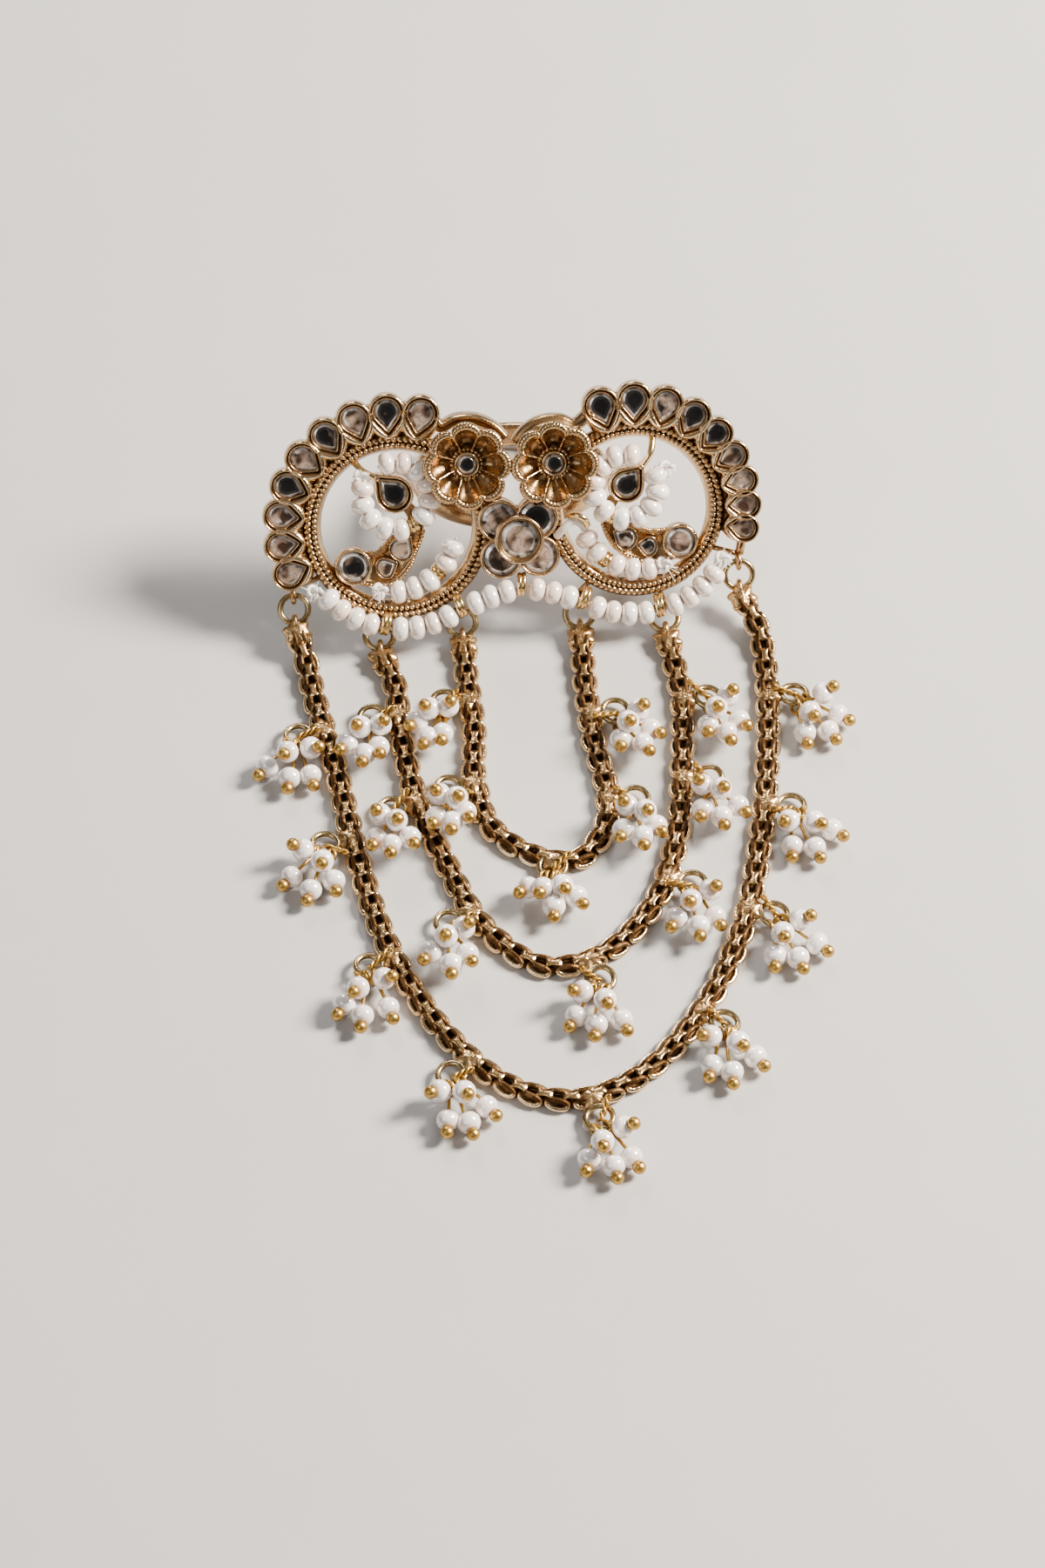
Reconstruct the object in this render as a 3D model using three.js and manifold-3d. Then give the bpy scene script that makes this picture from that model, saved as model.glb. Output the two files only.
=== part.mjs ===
import * as THREE from "three";
import { mergeVertices } from "three/addons/utils/BufferGeometryUtils.js";
import Module from "manifold-3d";

// A large finger ring lying on a surface: two open circles with stone-set rims, two
// rosettes and a flower soldered together on a plain shank, strings of seed beads, and
// three chains laid out in front in U shapes with bunches of beads on jump rings.
// Millimetres and degrees, +Z up, the chains towards -Y.

const wasm = await Module();
wasm.setup();

// Driving dimensions of the soldered head, in its own leaning plane
const outlineMiddle = { x: 3.335, y: -1.03 };
const head = { tilt: 50, yaw: 4.5, foot: { x: 0.05, y: 17.94, z: 0 } };
const halves = [
  {
    name: "left",
    side: -1,
    middle: 11.6,
    height: 11.4,
    size: 1.035,
    bend: { x: 0.45, y: 0.35 },
    sag: 0,
    rim: { first: -15, last: 110, taper: 0.02 },
  },
  {
    name: "right",
    side: 1,
    middle: 11.35,
    height: 11.75,
    size: 0.98,
    bend: { x: -0.45, y: -0.3 },
    sag: 0.8,
    rim: { first: -16, last: 103, taper: 0.05 },
  },
];
const circle = { inner: 7.45, outer: 8.75, thick: 1.2 };
const rim = { count: 9, radius: 10.85, grading: 0.65 };
const rimPlate = { inner: 7.75, outer: 11.6, thick: 0.8, margin: 5 };
const teardrop = { pointRatio: 1.55, wall: 0.22, gap: 0.08, seat: 0.9, height: 2, crown: 0.1 };
const rimDrop = 1.55;
const pearlDrop = 1.65;
const rosette = { x: -7.45, y: 5.8, bendShare: 0.75, lobes: 8, scallop: 0.1 };
const rosetteCone = { footRadius: 2.3, rimRadius: 3.8, foot: 0.9, height: 3.3, wall: 0.35, floor: 1.5 };
const rosetteSetting = { radius: 1.25, seat: 1.6, height: 2.4 };
const flower = { height: 9.75, petals: 4, petalReach: 2.5, petalRadius: 2.05, thick: 2.3 };
const flowerSetting = { radius: 2.4, seat: 1.6, height: 3 };
const shank = { inner: 8.5, outer: 9.75, width: 2.4, crown: 0.45, lean: 17 };
const shankSeat = { height: 11.3, sink: 0.5 };

// The curl inside each circle, outward and up from the circle's middle
const curl = {
  roundStone: { x: 4.2, y: -3.45, radius: 2.1, height: 1.6 },
  strip: [{ x: 4.2, y: -3.45 }, { x: 1.35, y: -3.85 }, { x: -0.85, y: -2.4 }],
  neck: [{ x: -0.85, y: -2.4 }, { x: -2.1, y: -0.8 }, { x: -2, y: 0.7 }, { x: -0.4, y: 2.5 }],
  pearl: { x: -0.4, y: 2.8, turn: 42 },
  stripWidth: 1.9,
  neckWidth: 0.9,
  thick: 0.85,
};

// Seed beads, their threads, and the head pins and jump rings of bright wire
const bead = { radius: 1, pitch: 1.52, waist: 0.42, shoulder: 0.24, sides: 5 };
const thread = 0.25;
const pearlLoop = { x: -0.5, y: 2.65, radius: 3.15, rise: 1.9, groups: [6, 5], gap: 1.5 };
const pearlLoopGaps = { first: 0.1, second: 0.75 };
const beadRow = { radius: 6.25, endRadius: 5.6, rise: 0.9, from: 168, to: 246, groups: [3, 2] };
const beadRowGap = 0.75;
const garland = { radius: 9.45, endRadius: 10.1, rise: 2.32, from: 121, to: 213, underFlower: 4.9 };
const garlandGroups = [4, 4, 3, 3, 4, 4];
const endRing = { radius: 1.35, wire: 0.28 };
const eye = { radius: 0.7, wire: 0.25, stem: 0.55 };
const dropRing = { radius: 1.3, wire: 0.28, offset: 2.4, rise: 0.86 };
const pinLoop = { radius: 0.62, wire: 0.18 };
const pin = { wire: 0.18, ball: 0.56, sides: 5 };
const chainSection = { width: 2.55, height: 1.4, chamfer: 0.4, step: 4.4 };

// How finely round shapes are cut into flats, and how far a cut runs past its face
const flats = { circle: 13, rimPlate: 9, flower: 6, cup: 16, shank: 40, stem: 6 };
const wireFlats = { endRing: 10, eye: 8, dropRing: 9, pinLoop: 7 };
const stringSteps = { arc: 8, loop: 24, strip: 8 };
const cutPast = 1;

// Where each chain hangs on the head, and how high its own end eye lies above the surface
const chainEyes = {
  outer: { angle: 120.8, radius: 11.55, rise: 0.5, endHeight: 2.8 },
  middle: { angle: 166.5, radius: 9.35, rise: 0.35, endHeight: 1 },
  inner: { angle: 214, radius: 9.9, rise: 0.35, endHeight: 1 },
};

// Chain routes from the left end to the right end, chosen along the surface
const lying = chainSection.height / 2;
const routes = {
  outer: [
    [-20.9, 14.4, 1.2], [-19.8, 9.6, lying], [-17.5, 0.9, lying], [-15.4, -8.6, lying],
    [-12.3, -18.7, lying], [-7.2, -27.9, lying], [-1.4, -33.6, lying], [4.6, -35.2, lying],
    [10.6, -32.6, lying], [16.2, -25.8, lying], [20.1, -17, lying], [22.4, -5, lying],
    [23.3, 6, lying], [23.3, 13.6, lying], [22.7, 17.6, 1.5],
  ],
  middle: [
    [-12.2, 11.2, lying], [-11.7, 6.8, lying], [-10.1, -1.6, lying], [-7.1, -9.5, lying],
    [-3.4, -16.8, lying], [2, -20.9, lying], [7.6, -19.4, lying], [12.3, -13.6, lying],
    [14.4, -6.4, lying], [15.1, 2.8, lying], [15.2, 9.5, lying], [14.6, 13.6, lying],
  ],
  inner: [
    [-5.3, 11.8, lying], [-4.6, 6, lying], [-4.5, 0, lying], [-2.9, -5.4, lying], [1.2, -8.6, lying],
    [5.2, -9, lying], [7.8, -5, lying], [7.9, -1, lying], [6.7, 5, lying], [6, 11.2, lying],
  ],
};

// Bead bunches: share of the chain's length, heading of the bunch, its spread and lift
const drops = {
  outer: [
    { at: 0.093, aim: -99, spread: 1, lift: 0 },
    { at: 0.196, aim: -106, spread: 1, lift: 0 },
    { at: 0.306, aim: -92, spread: 1, lift: 0 },
    { at: 0.41, aim: -74, spread: 1, lift: 0 },
    { at: 0.505, aim: -77, spread: 1, lift: 0 },
    { at: 0.614, aim: -84, spread: 1, lift: 0 },
    { at: 0.71, aim: -66, spread: 1, lift: 0 },
    { at: 0.806, aim: -68, spread: 1, lift: 0 },
    { at: 0.908, aim: -54, spread: 1, lift: 0 },
  ],
  middle: [
    { at: 0.09, aim: -98, spread: 0.8, lift: 1.3 },
    { at: 0.212, aim: -91, spread: 0.8, lift: 1.3 },
    { at: 0.37, aim: -88, spread: 0.8, lift: 1 },
    { at: 0.525, aim: -96, spread: 1, lift: 0 },
    { at: 0.665, aim: -84, spread: 0.9, lift: 0.6 },
    { at: 0.8, aim: -80, spread: 0.9, lift: 1 },
    { at: 0.91, aim: -72, spread: 0.8, lift: 1.2 },
  ],
  inner: [
    { at: 0.12, aim: -106, spread: 0.7, lift: 1.4 },
    { at: 0.29, aim: -86, spread: 0.7, lift: 1.4 },
    { at: 0.495, aim: -92, spread: 0.95, lift: 0, offset: 1.5 },
    { at: 0.66, aim: -84, spread: 0.8, lift: 1.2 },
    { at: 0.835, aim: -62, spread: 0.8, lift: 1.2 },
  ],
};

// The five beads of one bunch: distance ahead of the jump ring, to the side, and height
const bunch = [
  { ahead: 2.2, across: 1.6, height: 1.95 },
  { ahead: 3.2, across: -0.6, height: 2.1 },
  { ahead: 4.6, across: -2.2, height: 1.05 },
  { ahead: 5.8, across: -0.1, height: 1.05 },
  { ahead: 5, across: 1.95, height: 1.05 },
];

// Finishes
const antiqueGold = { color: 0xa98a55, roughness: 0.35, metalness: 1 };
const chainGold = { color: 0x9c7c48, roughness: 0.4, metalness: 1 };
const paleGold = { color: 0xa8997a, roughness: 0.3, metalness: 1 };
const mirrorGlass = { color: 0x4a4744, roughness: 0.05, metalness: 0.4 };
const creamBead = { color: 0xf3e9e2, roughness: 0.22, metalness: 0 };

const radians = THREE.MathUtils.degToRad;
const upwards = new THREE.Vector3(0, 0, 1);

// A closed solid from a geometry: shared corners merged, empty triangles dropped
function solid(geometry, placement = new THREE.Matrix4()) {
  const bare = geometry.clone().applyMatrix4(placement);
  bare.deleteAttribute("normal");
  bare.deleteAttribute("uv");
  const merged = mergeVertices(bare, 1e-4);
  const corners = Array.from(merged.index.array);
  const kept = [];
  for (let i = 0; i < corners.length; i += 3) {
    const [a, b, c] = corners.slice(i, i + 3);
    if (a !== b && b !== c && c !== a) {
      kept.push(a, b, c);
    }
  }
  const vertProperties = new Float32Array(merged.attributes.position.array);
  const triVerts = new Uint32Array(kept);
  return new wasm.Manifold(new wasm.Mesh({ numProp: 3, vertProperties, triVerts }));
}

function joined(bodies) {
  return bodies.reduce((whole, body) => whole.add(body));
}

// One named piece of the object with its own material
function piece(name, body, finish) {
  const skin = body.getMesh();
  const geometry = new THREE.BufferGeometry();
  geometry.setAttribute("position", new THREE.BufferAttribute(skin.vertProperties, 3));
  geometry.setIndex(new THREE.BufferAttribute(skin.triVerts, 1));
  geometry.computeVertexNormals();
  const mesh = new THREE.Mesh(geometry, new THREE.MeshStandardMaterial(finish));
  mesh.name = name;
  return mesh;
}

// A flat outline raised from one height to another, turned and moved in its plane
function raised(shape, bottom, top, { x = 0, y = 0, turn = 0, curveSegments = 4 } = {}) {
  const depth = top - bottom;
  const geometry = new THREE.ExtrudeGeometry(shape, { depth, bevelEnabled: false, curveSegments });
  const placement = new THREE.Matrix4().makeRotationZ(turn);
  placement.setPosition(x, y, bottom);
  return solid(geometry, placement);
}

function disc(radius) {
  return new THREE.Shape().absarc(0, 0, radius, 0, 2 * Math.PI);
}

// A teardrop: a round end about the origin and two tangents meeting in a point at +Y
function teardropShape(radius) {
  const reach = radius * teardrop.pointRatio;
  const lean = Math.acos(1 / teardrop.pointRatio);
  const shape = new THREE.Shape();
  shape.moveTo(0, reach);
  shape.absarc(0, 0, radius, Math.PI / 2 + lean, Math.PI / 2 - lean + 2 * Math.PI);
  shape.closePath();
  return shape;
}

// An angle counted from straight up towards the outside of a half
function around(angle, radius) {
  return { x: radius * Math.sin(radians(angle)), y: radius * Math.cos(radians(angle)) };
}

// The same point where the half's own curl is bent to
function bent(half, { x, y }) {
  return { x: x + half.bend.x, y: y + half.bend.y };
}

// A point of a half in the head's plane, given outward and up from its circle's middle
function spot(half, { x, y }, rise = 0) {
  const across = half.side * (half.middle + x * half.size);
  return new THREE.Vector3(across, half.height + y * half.size, rise);
}

// A setting with a pocket, and the stone that lies in it with a small gap
function setting(outline, radius, size, { seat, height }, place) {
  const pocket = raised(outline((radius - teardrop.wall) * size), seat, height + cutPast, place);
  const cup = raised(outline(radius * size), 0, height, place).subtract(pocket);
  const stoneRadius = (radius - teardrop.wall - teardrop.gap) * size;
  const stone = raised(outline(stoneRadius), seat + teardrop.gap, height - teardrop.crown, place);
  return { cup, stone };
}

// Flat strip with a rectangular section along a curve in the head's plane
function strip(half, points, width) {
  const middle = points.map((point) => spot(half, point, curl.thick / 2));
  const extrudePath = new THREE.CatmullRomCurve3(middle);
  const section = new THREE.Shape();
  section.moveTo(-curl.thick / 2, -width / 2);
  section.lineTo(curl.thick / 2, -width / 2);
  section.lineTo(curl.thick / 2, width / 2);
  section.lineTo(-curl.thick / 2, width / 2);
  section.closePath();
  const options = { steps: stringSteps.strip, extrudePath, curveSegments: 1 };
  return solid(new THREE.ExtrudeGeometry(section, options));
}

// The open circle of a half and the plate that carries its rim settings
function circleBand(half) {
  const place = { x: half.side * half.middle, y: half.height, curveSegments: flats.circle };
  const band = disc(circle.outer * half.size);
  band.holes.push(disc(circle.inner * half.size));
  const start = half.rim.first - rimPlate.margin;
  const end = half.rim.last + rimPlate.margin;
  const from = radians(90 - half.side * start);
  const to = radians(90 - half.side * end);
  const clockwise = half.side > 0;
  const plate = new THREE.Shape();
  plate.absarc(0, 0, rimPlate.outer * half.size, from, to, clockwise);
  plate.absarc(0, 0, rimPlate.inner * half.size, to, from, !clockwise);
  plate.closePath();
  const crescent = raised(plate, 0, rimPlate.thick, { ...place, curveSegments: flats.rimPlate });
  return raised(band, 0, circle.thick, place).add(crescent);
}

// The rim settings of a half: steps and sizes shrink from the top to the side, and a setting is
// never so large that its wall reaches into its neighbour's pocket
function rimSettings(half) {
  const { first, last, taper } = half.rim;
  const evenStep = (last - first) / (rim.count - 1);
  const steps = Array.from({ length: rim.count - 1 }, (_, i) => {
    return evenStep * (1 - taper * (i - (rim.count - 2) / 2));
  });
  const angles = steps.reduce((soFar, step) => [...soFar, soFar.at(-1) + step], [first]);
  return angles.map((angle, i) => {
    const graded = 1 - rim.grading * taper * (i - (rim.count - 1) / 2);
    const nearest = Math.min(...steps.slice(Math.max(i - 1, 0), i + 1));
    const room = (radians(nearest) * rim.radius) / (2 * rimDrop - teardrop.wall + teardrop.gap);
    const size = Math.min(graded, room) * half.size;
    const place = spot(half, around(angle, rim.radius));
    const turn = Math.PI - half.side * radians(angle);
    return setting(teardropShape, rimDrop, size, teardrop, { x: place.x, y: place.y, turn });
  });
}

// A turned solid standing at a place of the head's plane
function turned(steps, segments, { x, y }) {
  const profile = steps.map(([radius, up]) => new THREE.Vector2(radius, up));
  const upright = new THREE.Matrix4().makeRotationX(Math.PI / 2).setPosition(x, y, 0);
  return solid(new THREE.LatheGeometry(profile, segments), upright);
}

// A scalloped cup with a small round setting in its middle
function rosetteCup(half) {
  const place = spot(half, { x: rosette.x + rosette.bendShare * half.bend.x, y: rosette.y });
  const { footRadius, rimRadius, foot, height, wall, floor } = rosetteCone;
  const outline = new THREE.Shape();
  const corners = rosette.lobes * 4;
  const points = Array.from({ length: corners }, (_, i) => {
    const angle = (i / corners) * 2 * Math.PI;
    const wave = Math.abs(Math.cos((angle * rosette.lobes) / 2));
    const reach = rimRadius * (1 - rosette.scallop + rosette.scallop * wave);
    return new THREE.Vector2(reach * Math.cos(angle), reach * Math.sin(angle));
  });
  outline.setFromPoints(points);
  const scallops = raised(outline, foot, height, place);
  const cone = [[0, foot], [footRadius, foot], [rimRadius, height], [0, height]];
  const outside = turned(cone, flats.cup, place);
  const lip = rimRadius * (1 - rosette.scallop) - wall;
  const above = height + cutPast;
  const hollow = [[0, floor], [footRadius - 2 * wall, floor], [lip, height], [lip, above], [0, above]];
  const cup = scallops.intersect(outside).subtract(turned(hollow, flats.cup, place));
  const centre = setting(disc, rosetteSetting.radius, 1, rosetteSetting, place);
  const stem = raised(disc(rosetteSetting.radius), 0, rosetteSetting.seat, place);
  return { cup: cup.add(stem).add(centre.cup), stone: centre.stone };
}

function curlPlate(half) {
  const { roundStone, pearl } = curl;
  const roundPlace = spot(half, roundStone);
  const pearlPlace = spot(half, bent(half, pearl));
  const [root, waist, tip] = curl.strip;
  const pearlPose = { x: pearlPlace.x, y: pearlPlace.y, turn: -half.side * radians(pearl.turn) };
  const drop = setting(teardropShape, pearlDrop, half.size, teardrop, pearlPose);
  const roundPose = { x: roundPlace.x, y: roundPlace.y };
  const body = joined([
    strip(half, [root, waist, bent(half, tip)], curl.stripWidth),
    strip(half, curl.neck.map((point) => bent(half, point)), curl.neckWidth),
    raised(disc(roundStone.radius * half.size), 0, roundStone.height, roundPose),
    drop.cup,
  ]);
  return { body, stone: drop.stone };
}

function flowerPlate() {
  const middle = { x: 0, y: flower.height, curveSegments: flats.flower };
  const petals = Array.from({ length: flower.petals }, (_, i) => {
    const angle = (2 * Math.PI * (i + 0.5)) / flower.petals;
    const x = flower.petalReach * Math.cos(angle);
    const y = flower.height + flower.petalReach * Math.sin(angle);
    return raised(disc(flower.petalRadius), 0, flower.thick, { x, y });
  });
  const centre = setting(disc, flowerSetting.radius, 1, flowerSetting, middle);
  const pocketDisc = disc(flowerSetting.radius - teardrop.wall);
  const pocket = raised(pocketDisc, flowerSetting.seat, flowerSetting.height, middle);
  return { body: joined(petals).subtract(pocket).add(centre.cup), stone: centre.stone };
}

// The finger band: a domed section turned about the finger's axis, leaning behind the head
function shankBand() {
  const { inner, outer, width, crown } = shank;
  const edge = outer - crown;
  const section = [[inner, -1], [edge, -1], [outer, 0], [edge, 1], [inner, 1], [inner, -1]];
  const profile = section.map(([radius, side]) => new THREE.Vector2(radius, (side * width) / 2));
  const reach = outer - shankSeat.sink;
  const lean = radians(shank.lean);
  const placement = new THREE.Matrix4().makeRotationX(lean);
  placement.setPosition(0, shankSeat.height + reach * Math.sin(lean), -reach * Math.cos(lean));
  return solid(new THREE.LatheGeometry(profile, flats.shank), placement);
}

function eyeSpot(half, chain) {
  const { angle, radius, rise } = chainEyes[chain];
  const sag = chain === "outer" ? 0 : half.sag;
  return spot(half, around(angle, radius + sag), rise);
}

// A wire eye under the head with the short stem that solders it to the circle
function hangingEye(half, chain) {
  const centre = eyeSpot(half, chain);
  const { angle, rise } = chainEyes[chain];
  const base = spot(half, around(angle, circle.outer - eye.wire), rise);
  const loopTop = centre.clone().add(new THREE.Vector3(0, eye.radius, 0));
  const length = base.distanceTo(loopTop);
  const stem = new THREE.CylinderGeometry(eye.wire, eye.wire, length, flats.stem);
  const heading = loopTop.clone().sub(base).normalize();
  const turn = new THREE.Quaternion().setFromUnitVectors(new THREE.Vector3(0, 1, 0), heading);
  const placement = new THREE.Matrix4().makeRotationFromQuaternion(turn);
  placement.setPosition(base.addScaledVector(heading, length / 2));
  const loop = wireRing(eye, centre, new THREE.Vector3(1, 0, 0), { steps: wireFlats.eye });
  return loop.add(solid(stem, placement));
}

// A ring of round wire about an axis direction
function wireRing({ radius, wire }, centre, axis, { sides = 4, steps = wireFlats.endRing } = {}) {
  const turn = new THREE.Quaternion().setFromUnitVectors(upwards, axis);
  const placement = new THREE.Matrix4().makeRotationFromQuaternion(turn).setPosition(centre);
  return solid(new THREE.TorusGeometry(radius, wire, sides, steps), placement);
}

// Beads on one thread: a turned profile of beads and bare stretches, bent along a curve
function beadString(curve, groups, gaps) {
  const profile = [new THREE.Vector2(0, 0)];
  const length = curve.getLength();
  let along = 0;
  groups.forEach((count, g) => {
    profile.push(new THREE.Vector2(thread, along));
    along += gaps[g];
    for (let i = 0; i < count; i += 1) {
      const start = along + i * bead.pitch;
      profile.push(new THREE.Vector2(i === 0 ? thread : bead.waist, start));
      profile.push(new THREE.Vector2(bead.radius, start + bead.shoulder * bead.pitch));
      profile.push(new THREE.Vector2(bead.radius, start + (1 - bead.shoulder) * bead.pitch));
    }
    along += count * bead.pitch;
    profile.push(new THREE.Vector2(thread, along));
  });
  profile.push(new THREE.Vector2(thread, length), new THREE.Vector2(0, length));
  const geometry = new THREE.LatheGeometry(profile, bead.sides);
  const place = geometry.attributes.position;
  for (let i = 0; i < place.count; i += 1) {
    const share = THREE.MathUtils.clamp(place.getY(i) / length, 0, 1);
    const across = new THREE.Vector3().crossVectors(curve.getTangentAt(share), upwards).normalize();
    const point = curve.getPointAt(share).addScaledVector(across, place.getX(i));
    place.setXYZ(i, point.x, point.y, point.z + place.getZ(i));
  }
  return solid(geometry);
}

// Points on an arc of a half between two angles, its radius growing evenly along it
function arcPoints(half, { radius, endRadius, rise, from, to }, sag) {
  return Array.from({ length: stringSteps.arc + 1 }, (_, i) => {
    const share = i / stringSteps.arc;
    const reach = radius + (endRadius - radius) * share + sag;
    return spot(half, around(from + (to - from) * share, reach), rise);
  });
}

function rowString(half) {
  const curve = new THREE.CatmullRomCurve3(arcPoints(half, beadRow, 0));
  return beadString(curve, beadRow.groups, [beadRowGap / 2, beadRowGap]);
}

// The loop of beads round the pearl setting starts and ends beside the setting's point
function loopString(half) {
  const { radius, rise, groups, gap } = pearlLoop;
  const middle = spot(half, bent(half, pearlLoop), rise);
  const tipGap = (360 * gap) / (2 * Math.PI * radius);
  const reach = radius * half.size;
  const points = Array.from({ length: stringSteps.loop + 1 }, (_, i) => {
    const turned = ((360 - tipGap) * i) / stringSteps.loop;
    const { x, y } = around(curl.pearl.turn - tipGap / 2 - turned, reach);
    return new THREE.Vector3(middle.x + half.side * x, middle.y + y, rise);
  });
  const curve = new THREE.CatmullRomCurve3(points);
  const spare = curve.getLength() - (groups[0] + groups[1]) * bead.pitch;
  return beadString(curve, groups, [spare * pearlLoopGaps.first, spare * pearlLoopGaps.second]);
}

// The long string under both circles, dipping round each and rising below the flower
function garlandString() {
  const [left, right] = halves;
  const middle = new THREE.Vector3(0, flower.height - garland.underFlower, garland.rise);
  const leftArc = arcPoints(left, garland, left.sag);
  const rightArc = arcPoints(right, garland, right.sag).reverse();
  const curve = new THREE.CatmullRomCurve3([...leftArc, middle, ...rightArc]);
  const count = garlandGroups.reduce((sum, group) => sum + group, 0);
  const gap = (curve.getLength() - count * bead.pitch) / garlandGroups.length;
  const gaps = garlandGroups.map((_, i) => (i === 0 ? gap / 2 : gap));
  return beadString(curve, garlandGroups, gaps);
}

// A chain's line with its flat side kept level and never below the surface
class LyingRoute extends THREE.CatmullRomCurve3 {
  getPoint(share, target) {
    const point = super.getPoint(share, target);
    return point.setZ(Math.max(point.z, lying));
  }

  computeFrenetFrames(segments) {
    const tangents = Array.from({ length: segments + 1 }, (_, i) => this.getTangentAt(i / segments));
    const across = (along) => new THREE.Vector3().crossVectors(along, upwards).normalize();
    const binormals = tangents.map(across);
    const normals = tangents.map((along, i) => new THREE.Vector3().crossVectors(binormals[i], along));
    return { tangents, normals, binormals };
  }
}

function chainTube(route) {
  const { width, height, chamfer, step } = chainSection;
  const outline = [
    [-height / 2, width / 2 - chamfer], [-height / 2, chamfer - width / 2],
    [chamfer - height / 2, -width / 2], [height / 2 - chamfer, -width / 2],
    [height / 2, chamfer - width / 2], [height / 2, width / 2 - chamfer],
    [height / 2 - chamfer, width / 2], [chamfer - height / 2, width / 2],
  ];
  const section = new THREE.Shape(outline.map(([up, across]) => new THREE.Vector2(up, across)));
  const steps = Math.round(route.getLength() / step);
  return solid(new THREE.ExtrudeGeometry(section, { steps, extrudePath: route, curveSegments: 1 }));
}

// Where a bunch's jump ring is soldered to the outside of its chain
function dropPlace(route, { at, aim, offset = dropRing.offset }) {
  const along = route.getTangentAt(at);
  const outward = new THREE.Vector3().crossVectors(along, upwards).normalize();
  const centre = route.getPointAt(at).addScaledVector(outward, offset).setZ(dropRing.rise);
  const ahead = new THREE.Vector3(Math.cos(radians(aim)), Math.sin(radians(aim)), 0);
  return { centre, ahead, across: new THREE.Vector3().crossVectors(upwards, ahead) };
}

// Five head pins on one loop through the jump ring, each with a bead and a ball end
function beadBunch(route, drop, mirrored) {
  const { centre, ahead, across } = dropPlace(route, drop);
  const hold = centre.clone().addScaledVector(ahead, dropRing.radius);
  const start = hold.clone().addScaledVector(ahead, pinLoop.radius);
  const pins = bunch.map((place) => {
    const sideways = place.across * drop.spread * (mirrored ? -1 : 1);
    const middle = centre.clone().addScaledVector(ahead, place.ahead).addScaledVector(across, sideways);
    middle.setZ(place.height + drop.lift);
    const length = middle.distanceTo(start);
    const half = bead.pitch / 2;
    const flat = half * (1 - 2 * bead.shoulder);
    const steps = [
      [0, 0], [pin.wire, length - half], [bead.radius, length - flat],
      [bead.radius, length + flat], [pin.wire, length + half], [pin.ball, length + half + pin.ball],
      [0, length + half + 2 * pin.ball],
    ];
    const profile = steps.map(([radius, along]) => new THREE.Vector2(radius, along));
    const heading = middle.clone().sub(start).normalize();
    const turn = new THREE.Quaternion().setFromUnitVectors(new THREE.Vector3(0, 1, 0), heading);
    const placement = new THREE.Matrix4().makeRotationFromQuaternion(turn).setPosition(start);
    return solid(new THREE.LatheGeometry(profile, pin.sides), placement);
  });
  return joined([wireRing(pinLoop, hold, across, { steps: wireFlats.pinLoop }), ...pins]);
}

// The head leans back on its shank, turned a little on the surface
const leaning = new THREE.Group();
leaning.rotation.order = "ZYX";
leaning.rotation.set(radians(head.tilt), 0, radians(head.yaw));
leaning.position.set(head.foot.x, head.foot.y, head.foot.z);
leaning.updateMatrix();

const ring = new THREE.Group();
ring.position.set(-outlineMiddle.x, -outlineMiddle.y, 0);
ring.add(leaning);

const frameBodies = [shankBand()];
const flowerParts = flowerPlate();
frameBodies.push(flowerParts.body);
leaning.add(piece("flower_stone", flowerParts.stone, mirrorGlass));

halves.forEach((half) => {
  frameBodies.push(circleBand(half));
  rimSettings(half).forEach(({ cup, stone }, i) => {
    frameBodies.push(cup);
    leaning.add(piece(`rim_stone_${half.name}_${i + 1}`, stone, mirrorGlass));
  });
  const cup = rosetteCup(half);
  const curlParts = curlPlate(half);
  frameBodies.push(cup.cup, curlParts.body);
  leaning.add(piece(`rosette_stone_${half.name}`, cup.stone, mirrorGlass));
  leaning.add(piece(`pearl_stone_${half.name}`, curlParts.stone, mirrorGlass));
  leaning.add(piece(`pearl_loop_${half.name}`, loopString(half), creamBead));
  leaning.add(piece(`bead_row_${half.name}`, rowString(half), creamBead));
  Object.keys(chainEyes).forEach((chain) => {
    frameBodies.push(hangingEye(half, chain));
  });
});
leaning.add(piece("ring_frame", joined(frameBodies), antiqueGold));
leaning.add(piece("bead_garland", garlandString(), creamBead));

// Chains: the end rings link the head's eyes to eyes on the chain ends
const sideways = new THREE.Vector3(1, 0, 0).transformDirection(leaning.matrix);
const forwards = new THREE.Vector3().crossVectors(sideways, upwards);
Object.entries(routes).forEach(([chain, points]) => {
  const ends = halves.map((half) => {
    const top = eyeSpot(half, chain).applyMatrix4(leaning.matrix);
    const fall = Math.asin((top.z - chainEyes[chain].endHeight) / (2 * endRing.radius));
    const hang = forwards.clone().multiplyScalar(Math.cos(fall));
    hang.addScaledVector(upwards, -Math.sin(fall));
    const centre = top.clone().addScaledVector(hang, endRing.radius);
    const ringAxis = new THREE.Vector3().crossVectors(sideways, hang);
    const link = wireRing(endRing, centre, ringAxis, { sides: 5 });
    ring.add(piece(`end_ring_${chain}_${half.name}`, link, paleGold));
    return top.addScaledVector(hang, 2 * endRing.radius);
  });
  const [first, last] = ends.map((end) => end.clone().addScaledVector(forwards, eye.stem));
  const route = new LyingRoute([first, ...points.map((point) => new THREE.Vector3(...point)), last]);
  const endEyes = ends.map((end) => wireRing(eye, end, sideways, { steps: wireFlats.eye }));
  const bodies = [chainTube(route), ...endEyes];
  drops[chain].forEach((drop, i) => {
    const { centre } = dropPlace(route, drop);
    bodies.push(wireRing(dropRing, centre, upwards, { steps: wireFlats.dropRing }));
    ring.add(piece(`drop_${chain}_${i + 1}`, beadBunch(route, drop, i % 2 === 1), creamBead));
  });
  ring.add(piece(`chain_${chain}`, joined(bodies), chainGold));
});

export default ring;
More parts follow.
